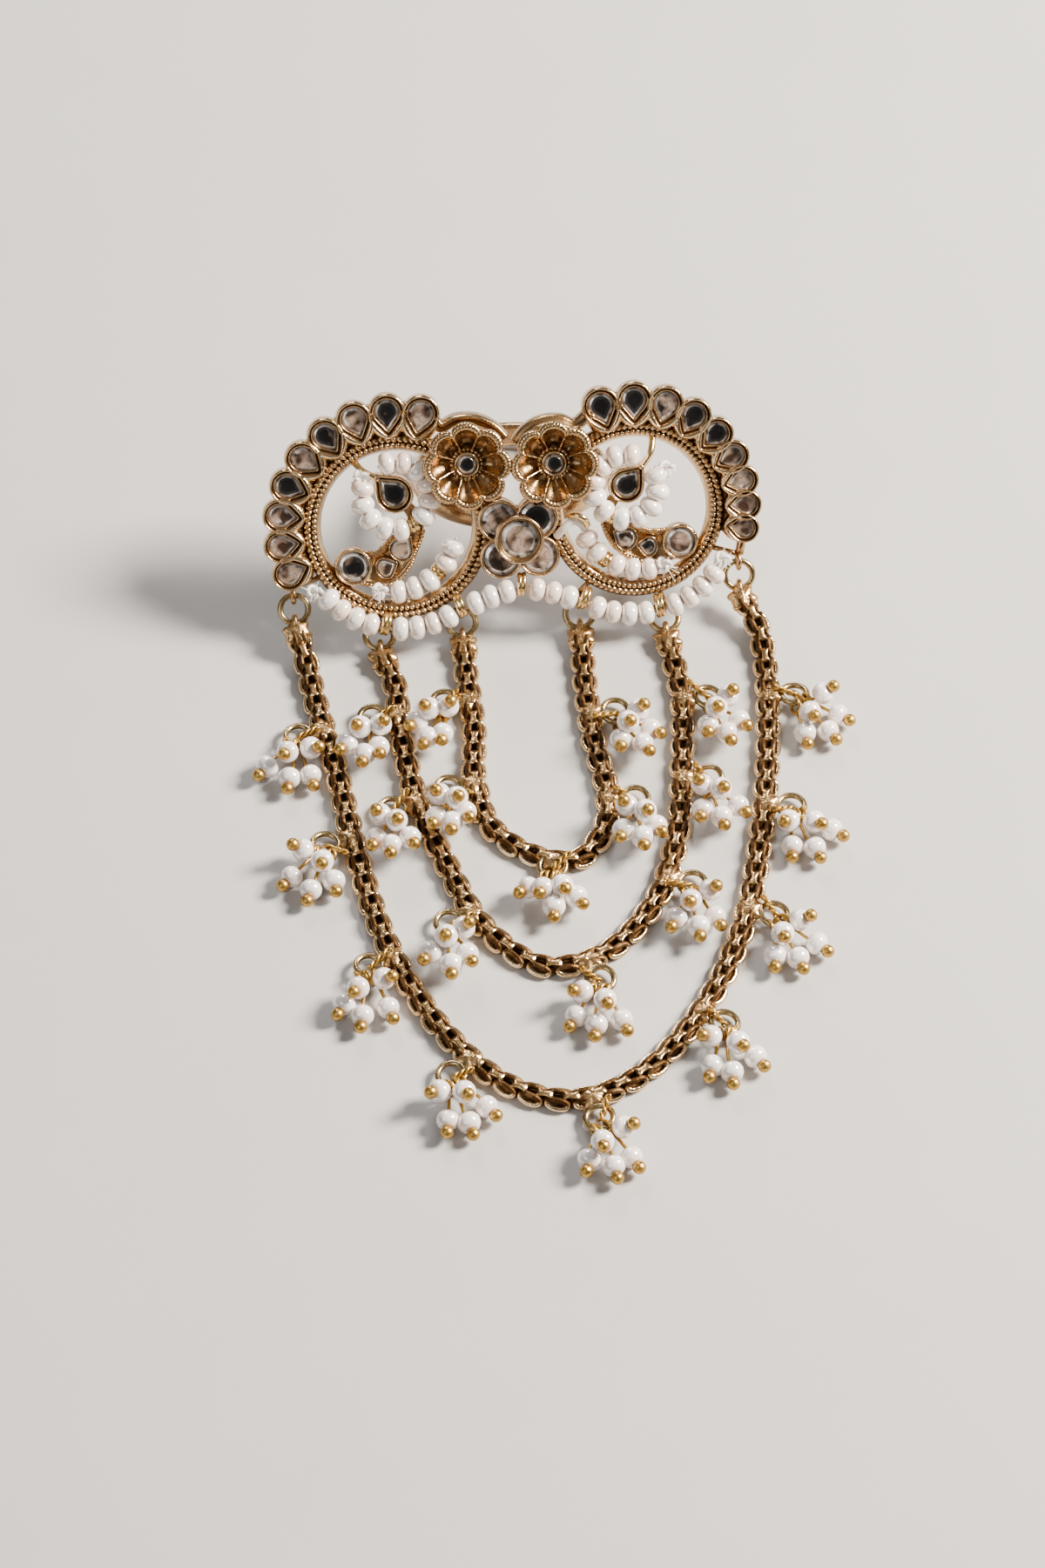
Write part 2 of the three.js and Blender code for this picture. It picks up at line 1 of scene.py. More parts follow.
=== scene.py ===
import bpy
import numpy as np
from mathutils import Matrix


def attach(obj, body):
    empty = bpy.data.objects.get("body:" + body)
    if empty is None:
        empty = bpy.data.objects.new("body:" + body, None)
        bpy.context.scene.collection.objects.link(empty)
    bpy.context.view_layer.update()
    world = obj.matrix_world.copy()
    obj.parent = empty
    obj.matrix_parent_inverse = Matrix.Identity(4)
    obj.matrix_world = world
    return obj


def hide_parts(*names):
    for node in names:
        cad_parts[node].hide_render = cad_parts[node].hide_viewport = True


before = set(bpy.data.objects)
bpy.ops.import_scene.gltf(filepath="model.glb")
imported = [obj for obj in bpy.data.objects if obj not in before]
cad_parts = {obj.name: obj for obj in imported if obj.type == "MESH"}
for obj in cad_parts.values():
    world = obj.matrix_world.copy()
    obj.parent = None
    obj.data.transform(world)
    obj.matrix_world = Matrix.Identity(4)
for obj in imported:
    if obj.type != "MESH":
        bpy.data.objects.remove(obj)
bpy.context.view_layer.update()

# Finger band
# A plain cast band, domed outside and flat inside, plated in antique gold.
# It is soldered behind the head, which leans back on it. Sizes here are millimetres and degrees.
MILLIMETRE = 0.001
OUTLINE_MIDDLE = np.array([3.335, -1.03, 0.0])
HEAD_TILT, HEAD_YAW = 50.0, 4.5
HEAD_FOOT = np.array([0.05, 17.94, 0.0])
BAND_INNER, BAND_OUTER, BAND_CROWN, BAND_ROUNDING, BAND_WIDTH = 8.5, 9.75, 0.45, 0.12, 2.4
BAND_LEAN, BAND_SEAT, BAND_SINK = 17.0, 11.3, 0.5
GOLD_BRIGHT = (0.58, 0.36, 0.165, 1.0)
GOLD_RECESS = (0.06, 0.021, 0.006, 1.0)
COPPER_BLUSH = (0.40, 0.14, 0.035, 1.0)
POLISHED_HIGHLIGHT_GOLD = (1.0, 0.82, 0.54, 1.0)
GRIME_SCALE, PITS_SCALE, BLUSH_SCALE = 1300.0, 5200.0, 420.0


def turned(points, axis, degrees):
    """Points turned about one axis: the other two coordinates mix by the angle's cosine and sine."""
    a, b = [(1, 2), (2, 0), (0, 1)][axis]
    angle = np.radians(degrees)
    out = np.array(points, float)
    out[..., a] = points[..., a] * np.cos(angle) - points[..., b] * np.sin(angle)
    out[..., b] = points[..., a] * np.sin(angle) + points[..., b] * np.cos(angle)
    return out


def on_head(points):
    """Points of the head's plane turned by its tilt about X and its yaw about Z, set on its foot."""
    return turned(turned(points, 0, HEAD_TILT), 2, HEAD_YAW) + HEAD_FOOT - OUTLINE_MIDDLE


def patch(points, closed=(False, True), capped=False, **marks):
    """One surface or many alike: points over two parameters, and marks spread over the same grid."""
    points = np.asarray(points, float)
    grid = points.shape[-3:-1]
    spread = {mark: np.broadcast_to(value, points.shape[:-1]).ravel() for mark, value in marks.items()}
    return {"points": points.reshape(-1, *grid, 3), "closed": closed, "capped": capped, "marks": spread}


def patch_faces(part, first):
    """Quads join each grid point to the next along both parameters, round again where it is closed,
    and a capped grid gets a flat end on its first and last row. A copy whose quads enclose a
    negative volume, summed over its triangles, has its faces turned round."""
    copies, rows, columns, _ = part["points"].shape
    index = np.arange(rows * columns).reshape(rows, columns)
    ends = [index[0, ::-1], index[-1]] if part["capped"] else []
    if part["closed"][0]:
        index = np.vstack([index, index[:1]])
    if part["closed"][1]:
        index = np.hstack([index, index[:, :1]])
    quads = np.stack([index[:-1, :-1], index[:-1, 1:], index[1:, 1:], index[1:, :-1]], -1).reshape(-1, 4)
    flat = part["points"].reshape(copies, -1, 3)
    flat = flat - flat.mean(1, keepdims=True)
    a, b, c, d = (flat[:, quads[:, corner]] for corner in range(4))
    volume = (a * (np.cross(b, c) + np.cross(c, d))).sum((1, 2))
    faces = []
    for ring in [quads, *(end[None] for end in ends)]:
        every = ring[None] + first + np.arange(copies)[:, None, None] * rows * columns
        every = np.where((volume < 0)[:, None, None], every[..., ::-1], every)
        faces += every.reshape(-1, ring.shape[-1]).tolist()
    return faces


def made(name, parts, finish):
    """A smooth-shaded mesh at the origin from patches in millimetres, their marks as attributes."""
    faces = []
    first = 0
    for part in parts:
        faces += patch_faces(part, first)
        first += part["points"].size // 3
    vertices = np.concatenate([part["points"].reshape(-1, 3) for part in parts]) * MILLIMETRE
    mesh = bpy.data.meshes.new(name)
    mesh.from_pydata(vertices.tolist(), [], faces)
    mesh.shade_smooth()
    for mark in sorted({mark for part in parts for mark in part["marks"]}):
        values = [part["marks"].get(mark, np.zeros(part["points"].size // 3)) for part in parts]
        layer = mesh.attributes.new(mark, "FLOAT", "POINT")
        layer.data.foreach_set("value", np.concatenate(values).astype(np.float32))
    mesh.materials.append(finish)
    piece = bpy.data.objects.new(name, mesh)
    bpy.context.scene.collection.objects.link(piece)
    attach(piece, "root")
    return piece


def joined(tree, node, inputs):
    """A shader node with its inputs set to values or joined to sockets."""
    for socket, value in inputs.items():
        if isinstance(value, bpy.types.NodeSocket):
            tree.links.new(value, node.inputs[socket])
        else:
            node.inputs[socket].default_value = value
    return node


def wired(tree, kind, inputs, **settings):
    """A new shader node with its settings and inputs."""
    node = tree.nodes.new(kind)
    for setting, value in settings.items():
        setattr(node, setting, value)
    return joined(tree, node, inputs)


def new_finish(name):
    """An empty material, its node tree and its shader."""
    finish = bpy.data.materials.new(name)
    finish.use_nodes = True
    return finish, finish.node_tree, finish.node_tree.nodes["Principled BSDF"]


def marked(tree, mark):
    """A mark of the mesh as a value over the surface."""
    return wired(tree, "ShaderNodeAttribute", {}, attribute_name=mark).outputs["Fac"]


def bumped(tree, height, strength, distance):
    """The surface's direction, tipped by the slope of a height."""
    inputs = {"Strength": strength, "Distance": distance, "Height": height}
    return wired(tree, "ShaderNodeBump", inputs).outputs["Normal"]


def mixed(tree, factor, low, high):
    """A colour that goes from low to high with the factor."""
    mix = wired(tree, "ShaderNodeMix", {0: factor, 6: low, 7: high}, data_type="RGBA")
    return mix.outputs[2]


def sums(tree, operation, first, second, third=0.0, clamped=False):
    """One step of arithmetic on values that vary over the surface."""
    inputs = {0: first, 1: second}
    if operation == "MULTIPLY_ADD":
        inputs[2] = third
    return wired(tree, "ShaderNodeMath", inputs, operation=operation, use_clamp=clamped).outputs[0]


def speckle(tree, scale, detail=3.0, roughness=0.55):
    """Noise over the object's own coordinates, from 0 to 1."""
    where = wired(tree, "ShaderNodeTexCoord", {}).outputs["Object"]
    inputs = {"Vector": where, "Scale": scale, "Detail": detail, "Roughness": roughness}
    return wired(tree, "ShaderNodeTexNoise", inputs).outputs["Fac"]


def ramp(tree, value, start, end):
    """0 up to the start and 1 from the end on, straight between them."""
    gain = 1 / (end - start)
    return sums(tree, "MULTIPLY_ADD", value, gain, -start * gain, clamped=True)


def new_group(name, inputs, outputs):
    """An empty shader node group with named colour and value sockets."""
    group = bpy.data.node_groups.new(name, "ShaderNodeTree")
    for direction, sockets in (("INPUT", inputs), ("OUTPUT", outputs)):
        for socket, kind in sockets:
            group.interface.new_socket(socket, in_out=direction, socket_type=kind)
    return group, group.nodes.new("NodeGroupInput").outputs, group.nodes.new("NodeGroupOutput").inputs


COLOUR, VALUE = "NodeSocketColor", "NodeSocketFloat"
plating_with_painted_light, given, result = new_group(
    "aged plating with painted light",
    [("Bright", COLOUR), ("Recess", COLOUR), ("Tone", VALUE), ("Grain", VALUE), ("Satin", VALUE)],
    [("Color", COLOUR), ("Roughness", VALUE), ("Height", VALUE)],
)
grime = speckle(plating_with_painted_light, GRIME_SCALE, 4.0)
pits = speckle(plating_with_painted_light, PITS_SCALE, 3.0)
blush = speckle(plating_with_painted_light, BLUSH_SCALE, 2.0)
# Painted shade: the tone mark, with grime noise, darkens the colour towards the recess colour. This is
# partly the antique finish in the hollows and partly painted shade under and between parts.
depth = sums(plating_with_painted_light, "MULTIPLY_ADD", grime, 0.9, given["Tone"])
depth = sums(plating_with_painted_light, "SUBTRACT", depth, 0.42, clamped=True)
plate = mixed(plating_with_painted_light, depth, given["Bright"], given["Recess"])
copper = mixed(plating_with_painted_light, 0.5, given["Bright"], COPPER_BLUSH)
warm = ramp(plating_with_painted_light, blush, 0.45, 1.075)
warm = sums(plating_with_painted_light, "MULTIPLY", warm, 0.55)
raised = sums(plating_with_painted_light, "SUBTRACT", 1.0, depth)
plate = mixed(plating_with_painted_light, sums(plating_with_painted_light, "MULTIPLY", warm, raised), plate, copper)
# Wear and painted highlight: where the tone is lowest, on rims and raised tops, the colour is paled
# towards polished gold and made a little glossier.
wear_and_highlight = ramp(plating_with_painted_light, given["Tone"], 0.125, 0.0)
wear_and_highlight = sums(plating_with_painted_light, "MULTIPLY", wear_and_highlight, raised)
polish_and_highlight = mixed(plating_with_painted_light, 0.45, given["Bright"], POLISHED_HIGHLIGHT_GOLD)
plate = mixed(plating_with_painted_light, wear_and_highlight, plate, polish_and_highlight)
plating_with_painted_light.links.new(plate, result["Color"])
rough = sums(plating_with_painted_light, "MULTIPLY_ADD", depth, 0.34, given["Satin"])
rough = sums(plating_with_painted_light, "MULTIPLY_ADD", wear_and_highlight, -0.05, rough)
plating_with_painted_light.links.new(sums(plating_with_painted_light, "MULTIPLY_ADD", pits, 0.12, rough), result["Roughness"])
relief = sums(plating_with_painted_light, "MULTIPLY", sums(plating_with_painted_light, "ADD", pits, grime), given["Grain"])
plating_with_painted_light.links.new(relief, result["Height"])


def plated(name, bright, recess, grain, satin=0.12):
    """Metal whose colour, gloss and relief come from the plating group, with its painted shade and
    highlight, and the tone mark.
    """
    finish, tree, shader = new_finish(name)
    tone = marked(tree, "tone")
    inputs = {"Bright": bright, "Recess": recess, "Tone": tone, "Grain": grain, "Satin": satin}
    plating = wired(tree, "ShaderNodeGroup", inputs, node_tree=plating_with_painted_light).outputs
    joined(tree, shader, {
        "Metallic": 1.0, "Base Color": plating["Color"], "Roughness": plating["Roughness"],
        "Normal": bumped(tree, plating["Height"], 0.35, 0.00006),
    })
    return finish


antique_gold = plated("antique gold", GOLD_BRIGHT, GOLD_RECESS, 1.0)

edge = np.linspace(-1.0, 1.0, 13)
inside = np.linspace(0.92, -0.92, 9)
domed = BAND_OUTER - BAND_CROWN * edge**2 - BAND_ROUNDING * edge**8
band_radius = np.concatenate([domed, 0 * inside + BAND_INNER])
band_along = np.concatenate([edge, inside]) * BAND_WIDTH / 2
turn = np.linspace(0, 2 * np.pi, 120, endpoint=False)
band_points = np.stack(
    [
        band_radius[:, None] * np.cos(turn),
        band_along[:, None] + 0 * turn,
        band_radius[:, None] * np.sin(turn),
    ],
    -1,
)
reach = BAND_OUTER - BAND_SINK
band_lean = np.radians(BAND_LEAN)
band_points = turned(band_points, 0, BAND_LEAN)
band_points += [0, BAND_SEAT + reach * np.sin(band_lean), -reach * np.cos(band_lean)]
finger_band = made("finger_band", [patch(on_head(band_points), (True, True), tone=0.1)], antique_gold)
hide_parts("ring_frame")

# Open circles
# Each half is a cast ring with two rows of grains round it, the outer row twisted like rope,
# and a crescent plate behind its rim. Both halves are soldered to the flower between them.
HALVES = [
    # The circle's middle and height on the head, its size, how its curl is bent and its string
    # sags, the angles of its bead row, rim and tip wire from straight up to the outside, how its
    # rim tapers, and its rosette's place outward and up from the circle's middle.
    {
        "name": "left", "side": -1, "middle": 11.6, "height": 11.4, "size": 1.035,
        "bend": (0.45, 0.35), "sag": 0.0, "row": (168, 246), "rim": (-15, 110), "tip": 30,
        "taper": 0.02, "rosette": (-6.75, 5.6),
    },
    {
        "name": "right", "side": 1, "middle": 11.35, "height": 11.75, "size": 0.98,
        "bend": (-0.45, -0.3), "sag": 0.8, "row": (159, 243), "rim": (-16, 103), "tip": 16,
        "taper": 0.05, "rosette": (-7.8, 5.15),
    },
]
CIRCLE_PROFILE = np.array([
    # radius, rise, tone
    [7.0, 0.0, 0.5], [6.98, 0.15, 0.2], [7.1, 0.5, 0.05], [7.3, 0.95, 0.05], [7.42, 1.1, 0.15],
    [7.55, 1.12, 0.7], [7.95, 1.05, 1.0], [8.2, 1.1, 0.9], [8.5, 1.05, 0.8], [8.72, 0.8, 0.6],
    [8.75, 0.0, 0.6],
])
ROPES = [
    # radius, rise, wire, grains, twist
    (8.23, 1.22, 0.34, 92, 1),
    (7.66, 1.2, 0.27, 96, 0),
]
ROPE_THIN, ROPE_SWELL = 0.5, 0.55
PLATE_PROFILE = np.array([
    [8.0, 0.0, 0.7], [8.55, 0.9, 0.9], [8.8, 1.25, 0.6], [9.3, 1.4, 0.5], [10.4, 1.35, 0.8],
    [11.2, 1.1, 0.8], [11.6, 0.6, 0.5], [11.6, 0.0, 0.5],
])
RIM_COUNT, RIM_RADIUS, RIM_MARGIN, RIM_GRADING = 9, 10.85, 5.0, 0.65


def spot(half, outward, up, rise=0.0):
    """A point of a half in the head's plane, outward and up from its circle's middle, times its size."""
    across = half["side"] * (half["middle"] + outward * half["size"])
    return np.stack(np.broadcast_arrays(across, half["height"] + up * half["size"], rise), -1)


def ringed(half, profile, degrees):
    """A profile of radius and rise carried round a half's circle, from straight up to its outside."""
    angle = np.radians(degrees)
    outward = profile[:, :1] * np.sin(angle)
    return spot(half, outward, profile[:, :1] * np.cos(angle), profile[:, 1:2])


def grained(half, radius, rise, wire, grains, twist):
    """A wire round a half's circle, its thickness rising and falling with the cosine of the angle
    round the circle times the grains, which slants with the angle round the wire by the twist."""
    theta = np.linspace(0, 2 * np.pi, grains * 6, endpoint=False)[:, None]
    phi = np.linspace(0, 2 * np.pi, 8, endpoint=False)
    swell = np.abs(np.cos((grains * theta + twist * phi) / 2)) ** 0.8
    thick = wire * (ROPE_THIN + ROPE_SWELL * swell)
    out = radius + thick * np.cos(phi)
    points = spot(half, out * np.sin(theta), out * np.cos(theta), rise + thick * np.sin(phi))
    return patch(on_head(points), (True, True), tone=1.2 * (1 - swell) ** 1.2)


def cast(points, tone):
    """Shapes of the head's plane with closed ends, as one patch with its tone."""
    return patch(on_head(points), capped=True, tone=tone)


full_turn = np.linspace(0, 360, 120, endpoint=False)
circle_parts = []
for half in HALVES:
    ring = ringed(half, CIRCLE_PROFILE, full_turn)
    circle_parts.append(patch(on_head(ring), (True, True), tone=CIRCLE_PROFILE[:, 2:]))
    rim_span = np.linspace(half["rim"][0] - RIM_MARGIN, half["rim"][1] + RIM_MARGIN, 60)
    crescent = np.swapaxes(ringed(half, PLATE_PROFILE, rim_span), 0, 1)
    circle_parts.append(cast(crescent, PLATE_PROFILE[:, 2]))
    circle_parts += [grained(half, *rope) for rope in ROPES]
open_circles = made("open_circles", circle_parts, antique_gold)
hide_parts("ring_frame")

# Rim settings
# Nine tall teardrop cups stand side by side round each rim with their points to the circle.
# Their walls bulge out, are burnished bright along the top, and step down to the stone. The bright top
# is partly wear and partly painted highlight, and the dark foot and step are partly antique darkening
# and partly painted shade.
POINT_RATIO = 1.55
TEARDROP_CUP = np.array([
    # radius, rise, tone, breadth towards the circle
    [1.54, 0.0, 0.9, 1.0], [1.63, 0.3, 0.6, 1.0], [1.70, 0.8, 0.3, 0.95], [1.72, 1.3, 0.12, 0.85],
    [1.69, 1.75, 0.05, 0.7], [1.63, 2.02, 0.0, 0.5], [1.56, 2.12, 0.0, 0.35], [1.49, 2.12, 0.0, 0.25],
    [1.43, 2.0, 0.25, 0.15], [1.39, 1.78, 0.9, 0.05], [1.35, 1.62, 1.0, 0.0], [1.31, 1.62, 0.9, 0.0],
    [1.29, 1.74, 0.1, 0.0], [1.22, 1.8, 0.0, 0.0], [1.14, 1.74, 0.2, 0.0], [1.09, 1.5, 1.0, 0.0],
    [1.09, 1.1, 1.0, 0.0],
])
CUP_SQUARE, CUP_REACH = 3.4, 1.42


def evened(outline, count):
    """A closed outline resampled at equal steps along it, each point averaged with its neighbours."""
    step = np.concatenate([[0], np.cumsum(np.linalg.norm(np.diff(outline, axis=0), axis=1))])
    at = np.linspace(0, step[-1], count, endpoint=False)
    even = np.stack([np.interp(at, step, outline[:, axis]) for axis in range(2)], -1)
    return (np.roll(even, 1, 0) + 2 * even + np.roll(even, -1, 0)) / 4


def teardrop_outline(count=44):
    """A round end of radius 1 about the middle and two tangents meeting in a point at +Y."""
    lean = np.arccos(1 / POINT_RATIO)
    sweep = np.linspace(np.pi / 2 + lean, 2.5 * np.pi - lean, 200)
    round_end = np.stack([np.cos(sweep), np.sin(sweep)], -1)
    point = [0, POINT_RATIO]
    return evened(np.vstack([point, round_end, point]), count)


def broad_outline(count=44):
    """A circle whose half towards +Y is longer and squared, as a power of its sine and cosine."""
    sweep = np.linspace(np.pi / 2, 2.5 * np.pi, 240)
    x, y = np.cos(sweep), np.sin(sweep)
    squared = 2 / CUP_SQUARE
    far = y > 0
    x = np.where(far, np.sign(x) * np.abs(x) ** squared, x)
    y = np.where(far, CUP_REACH * np.abs(y) ** squared, y)
    return evened(np.stack([x, y], -1), count)


def round_outline(count=40):
    """A circle of radius 1."""
    angle = np.linspace(0, 2 * np.pi, count, endpoint=False)
    return np.stack([np.cos(angle), np.sin(angle)], -1)


def stood(outline, profile, centres, turns, size=1.0, lift=0.0, tilts=None):
    """An outline carried up a profile of radius and rise, once at each centre of the head's plane,
    turned there, and leaning by a slope along each axis where tilts are given."""
    centres = np.reshape(centres, (-1, 2))
    angle = np.reshape(turns, (-1, 1, 1))
    flat = outline * profile[None, :, None, :1] * np.reshape(size, (-1, 1, 1, 1))
    x = flat[..., 0] * np.cos(angle) - flat[..., 1] * np.sin(angle)
    y = flat[..., 0] * np.sin(angle) + flat[..., 1] * np.cos(angle)
    z = profile[None, :, None, 1] + lift + 0 * x
    if tilts is not None:
        z = z + x * tilts[:, :1, None] + y * tilts[:, 1:, None]
    return np.stack([x + centres[:, :1, None], y + centres[:, 1:, None], z], -1)


def rim_places(half):
    """Middles, turns and sizes of a half's cups: their steps shrink evenly from the top to the side."""
    steps = 1 - half["taper"] * (np.arange(RIM_COUNT - 1) - (RIM_COUNT - 2) / 2)
    share = np.concatenate([[0], np.cumsum(steps)]) / (RIM_COUNT - 1)
    angle = np.radians(half["rim"][0] + (half["rim"][1] - half["rim"][0]) * share)
    from_middle = np.arange(RIM_COUNT) - (RIM_COUNT - 1) / 2
    sizes = half["size"] * (1 - RIM_GRADING * half["taper"] * from_middle)
    centres = spot(half, RIM_RADIUS * np.sin(angle), RIM_RADIUS * np.cos(angle))[:, :2]
    return centres, np.pi - half["side"] * angle, sizes


teardrop = teardrop_outline()
cup_outline = teardrop + (broad_outline() - teardrop) * TEARDROP_CUP[:, 3:, None]
setting_parts = []
for half in HALVES:
    cups = stood(cup_outline, TEARDROP_CUP, *rim_places(half))
    setting_parts.append(cast(cups, TEARDROP_CUP[:, 2:3]))
rim_settings = made("rim_settings", setting_parts, antique_gold)
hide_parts("ring_frame")

# Rim stones
# Flat clear stones with bevelled edges over dark foil, held by the cups' inner edge.
# The foil shows nearly black in most and pale and wrinkled in some. White glints are painted on the
# pale foil and in patches on the bevel, as painted reflections.
STONE_PROFILE = np.array([
    # radius, rise, edge
    [1.14, -0.30, 1.0], [1.2, 0.0, 1.0], [1.18, 0.02, 1.0], [0.87, 0.19, 0.95], [0.85, 0.2, 0.5],
    [0.82, 0.2, 0.06], [0.5, 0.2, 0.0], [0.25, 0.2, 0.0], [0.06, 0.2, 0.0],
])
RIM_STONE_LIFT = 1.44
RIM_PALENESS = {
    "left": [0.75, 0.05, 0.62, 0.2, 0.66, 0.16, 0.72, 0.7, 0.55],
    "right": [0.0, 0.04, 0.4, 0.15, 0.18, 0.42, 0.45, 0.7, 0.78],
}
STONE_DARK = (0.009, 0.008, 0.008, 1.0)
STONE_PALE = (0.66, 0.47, 0.35, 1.0)
STONE_SHADE = (0.065, 0.034, 0.02, 1.0)
STONE_GLINT = (0.90, 0.84, 0.78, 1.0)
STONE_TILT = 0.05
WRINKLE_SCALE, PATCH_SCALE, FOLD_SCALE, FLASH_SCALE, GLINT_SCALE = 900.0, 760.0, 700.0, 980.0, 1250.0

mirror_stone, tree, shader = new_finish("mirror stone")
wrinkle = speckle(tree, WRINKLE_SCALE, 2.0, 0.5)
patches = speckle(tree, PATCH_SCALE, 1.5, 0.5)
foil = ramp(tree, sums(tree, "ADD", marked(tree, "pale"), patches), 0.78, 0.98)
folds = ramp(tree, speckle(tree, FOLD_SCALE, 1.0), 0.4, 0.6)
pale = mixed(tree, folds, STONE_SHADE, STONE_PALE)
crease_line = sums(tree, "ABSOLUTE", sums(tree, "SUBTRACT", wrinkle, 0.5), 0.0)
crease_line = sums(tree, "MULTIPLY_ADD", crease_line, -14.0, 0.55, clamped=True)
pale = mixed(tree, crease_line, pale, STONE_SHADE)
# Painted reflection: white glints in patches on the pale foil.
flash = ramp(tree, speckle(tree, FLASH_SCALE, 1.0), 0.6222, 0.7333)
pale = mixed(tree, flash, pale, STONE_GLINT)
face = mixed(tree, foil, STONE_DARK, pale)
# Painted reflection: the bevel goes from dark shade to white glints in patches.
glint = ramp(tree, speckle(tree, GLINT_SCALE, 1.0), 0.3, 0.55)
bevel = mixed(tree, glint, STONE_SHADE, STONE_GLINT)
joined(tree, shader, {
    "Metallic": 0.5, "Coat Weight": 1.0, "Coat Roughness": 0.02,
    "Base Color": mixed(tree, marked(tree, "edge"), face, bevel),
    "Roughness": sums(tree, "MULTIPLY_ADD", foil, 0.14, 0.06),
    "Normal": bumped(tree, wrinkle, 0.25, 0.00008),
})


def foiled(points, pale):
    """Stones of the head's plane as one patch: bevel along the edge, and foil as pale as given."""
    return patch(on_head(points), capped=True, edge=STONE_PROFILE[:, 2:], pale=pale)


chance = np.random.default_rng(7)
stone_parts = []
for half in HALVES:
    tilts = chance.uniform(-STONE_TILT, STONE_TILT, (RIM_COUNT, 2))
    stones = stood(teardrop, STONE_PROFILE, *rim_places(half), RIM_STONE_LIFT, tilts)
    pale = np.reshape(RIM_PALENESS[half["name"]], (-1, 1, 1))
    stone_parts.append(foiled(stones, pale))
rim_stones = made("rim_stones", stone_parts, mirror_stone)
rim_nodes = [f"rim_stone_{half['name']}_{number + 1}" for half in HALVES for number in range(RIM_COUNT)]
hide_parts(*rim_nodes)

# Rosettes
# Two stamped cups of eight spoon-shaped petals with grains along their lifted edge.
# A small round setting stands in each on a collar of grains. A stem underneath joins it to the
# flower, and a curved arm hugs its outer side.
PETALS, ROSETTE_RADIUS, ROSETTE_SCALLOP = 8, 3.85, 0.2
ROSETTE_FLOOR, ROSETTE_RISE = 1.65, 1.6
PETAL_RIDGE, PETAL_DISH, PETAL_LUMPS = 0.28, 0.62, 0.07
ROSETTE_FOOT, ROSETTE_WALL, ROSETTE_EDGE, ROSETTE_THICK = 0.85, 0.55, 0.4, 0.06
ROSETTE_GRAINS = 72
COLLAR_RADIUS, COLLAR_RISE, COLLAR_WIRE, COLLAR_GRAINS = 1.42, 1.95, 0.2, 22
SMALL_CUP = np.array([
    # radius, rise, tone
    [1.2, 0.0, 0.8], [1.22, 1.4, 0.6], [1.24, 2.0, 0.25], [1.2, 2.3, 0.05], [1.12, 2.4, 0.0],
    [1.03, 2.36, 0.05], [0.97, 2.2, 0.5], [0.93, 2.06, 0.8], [0.93, 1.7, 0.9],
])
SMALL_STONE_SIZE, SMALL_STONE_LIFT, SMALL_PALENESS = 0.76, 2.03, 0.05
FLOWER_HEIGHT = 9.75
STEM_SECTION = np.array([[-0.9, -0.6], [-0.9, 0.3], [-0.5, 0.75], [0.5, 0.75], [0.9, 0.3], [0.9, -0.6]])
STEM_RISE = 0.7
ARM_START, ARM_REACH, ARM_TURN = (-3.9, 9.9), 4.1, (58, 150)
ARM_SECTION = np.array([
    # across, up, tone
    [-0.558, 0.0, 0.7], [-0.589, 1.2, 0.4], [-0.465, 1.98, 0.05], [-0.31, 2.1, 0.0], [-0.124, 1.92, 0.3],
    [0.0, 1.62, 0.8], [0.186, 1.56, 0.5], [0.434, 1.5, 0.2], [0.589, 1.08, 0.3], [0.558, 0.0, 0.7],
])


def smooth_line(points, count=400):
    """A centripetal Catmull-Rom curve: between two points a cubic whose end slopes come from the
    neighbours, weighted by the square roots of the distances. The end neighbours are mirrored."""
    points = np.asarray(points, float)
    around = np.vstack([2 * points[0] - points[1], points, 2 * points[-1] - points[-2]])
    share = np.linspace(0, len(points) - 1, count)
    first = np.minimum(share.astype(int), len(points) - 2)
    t = (share - first)[:, None]
    p0, p1, p2, p3 = (around[first + k] for k in range(4))
    steps = (p1 - p0, p2 - p1, p3 - p2)
    d0, d1, d2 = (np.sqrt(np.linalg.norm(step, axis=1, keepdims=True)) for step in steps)
    m1 = d1 * ((p1 - p0) / d0 - (p2 - p0) / (d0 + d1) + (p2 - p1) / d1)
    m2 = d1 * ((p2 - p1) / d1 - (p3 - p1) / (d1 + d2) + (p3 - p2) / d2)
    return p1 + m1 * t + (3 * (p2 - p1) - 2 * m1 - m2) * t**2 + (2 * (p1 - p2) + m1 + m2) * t**3


def swept(path, section, up=(0, 0, 1), closed=False):
    """A section of across and up carried along a path: across is square to the path and to up."""
    if closed:
        way = np.roll(path, -1, -2) - np.roll(path, 1, -2)
    else:
        way = np.gradient(path, axis=-2)
    way = way / np.linalg.norm(way, axis=-1, keepdims=True)
    across = np.cross(way, np.broadcast_to(up, way.shape))
    across = across / np.linalg.norm(across, axis=-1, keepdims=True)
    above = np.cross(across, way)
    section = np.broadcast_to(section, (*path.shape[:-1], *np.shape(section)[-2:]))
    path, across, above = (row[..., None, :] for row in (path, across, above))
    return path + section[..., :1] * across + section[..., 1:2] * above


def petal_swell(share):
    """Nothing at the rosette's middle and edge and full half way out, as a sine."""
    return np.sin(np.pi * np.clip((share - 0.12) / 0.88, 0, 1))


def petal_shape(share, angle):
    """Height of a rosette over the share of the way out and the angle: a bowl that steepens outward,
    sunk along the middle of each petal and hammered, with thin ridges between the petals."""
    middle = np.abs(np.cos(PETALS * angle / 2))
    swell = petal_swell(share)
    bowl = ROSETTE_FLOOR + ROSETTE_RISE * share**1.6
    lumps = PETAL_LUMPS * np.sin(9 * angle + 14 * share) * np.sin(21 * share - 5 * angle)
    ridge = PETAL_RIDGE * (1 - middle) ** 4 * swell**0.6
    return bowl + ridge - (PETAL_DISH * middle**0.6 + lumps) * swell


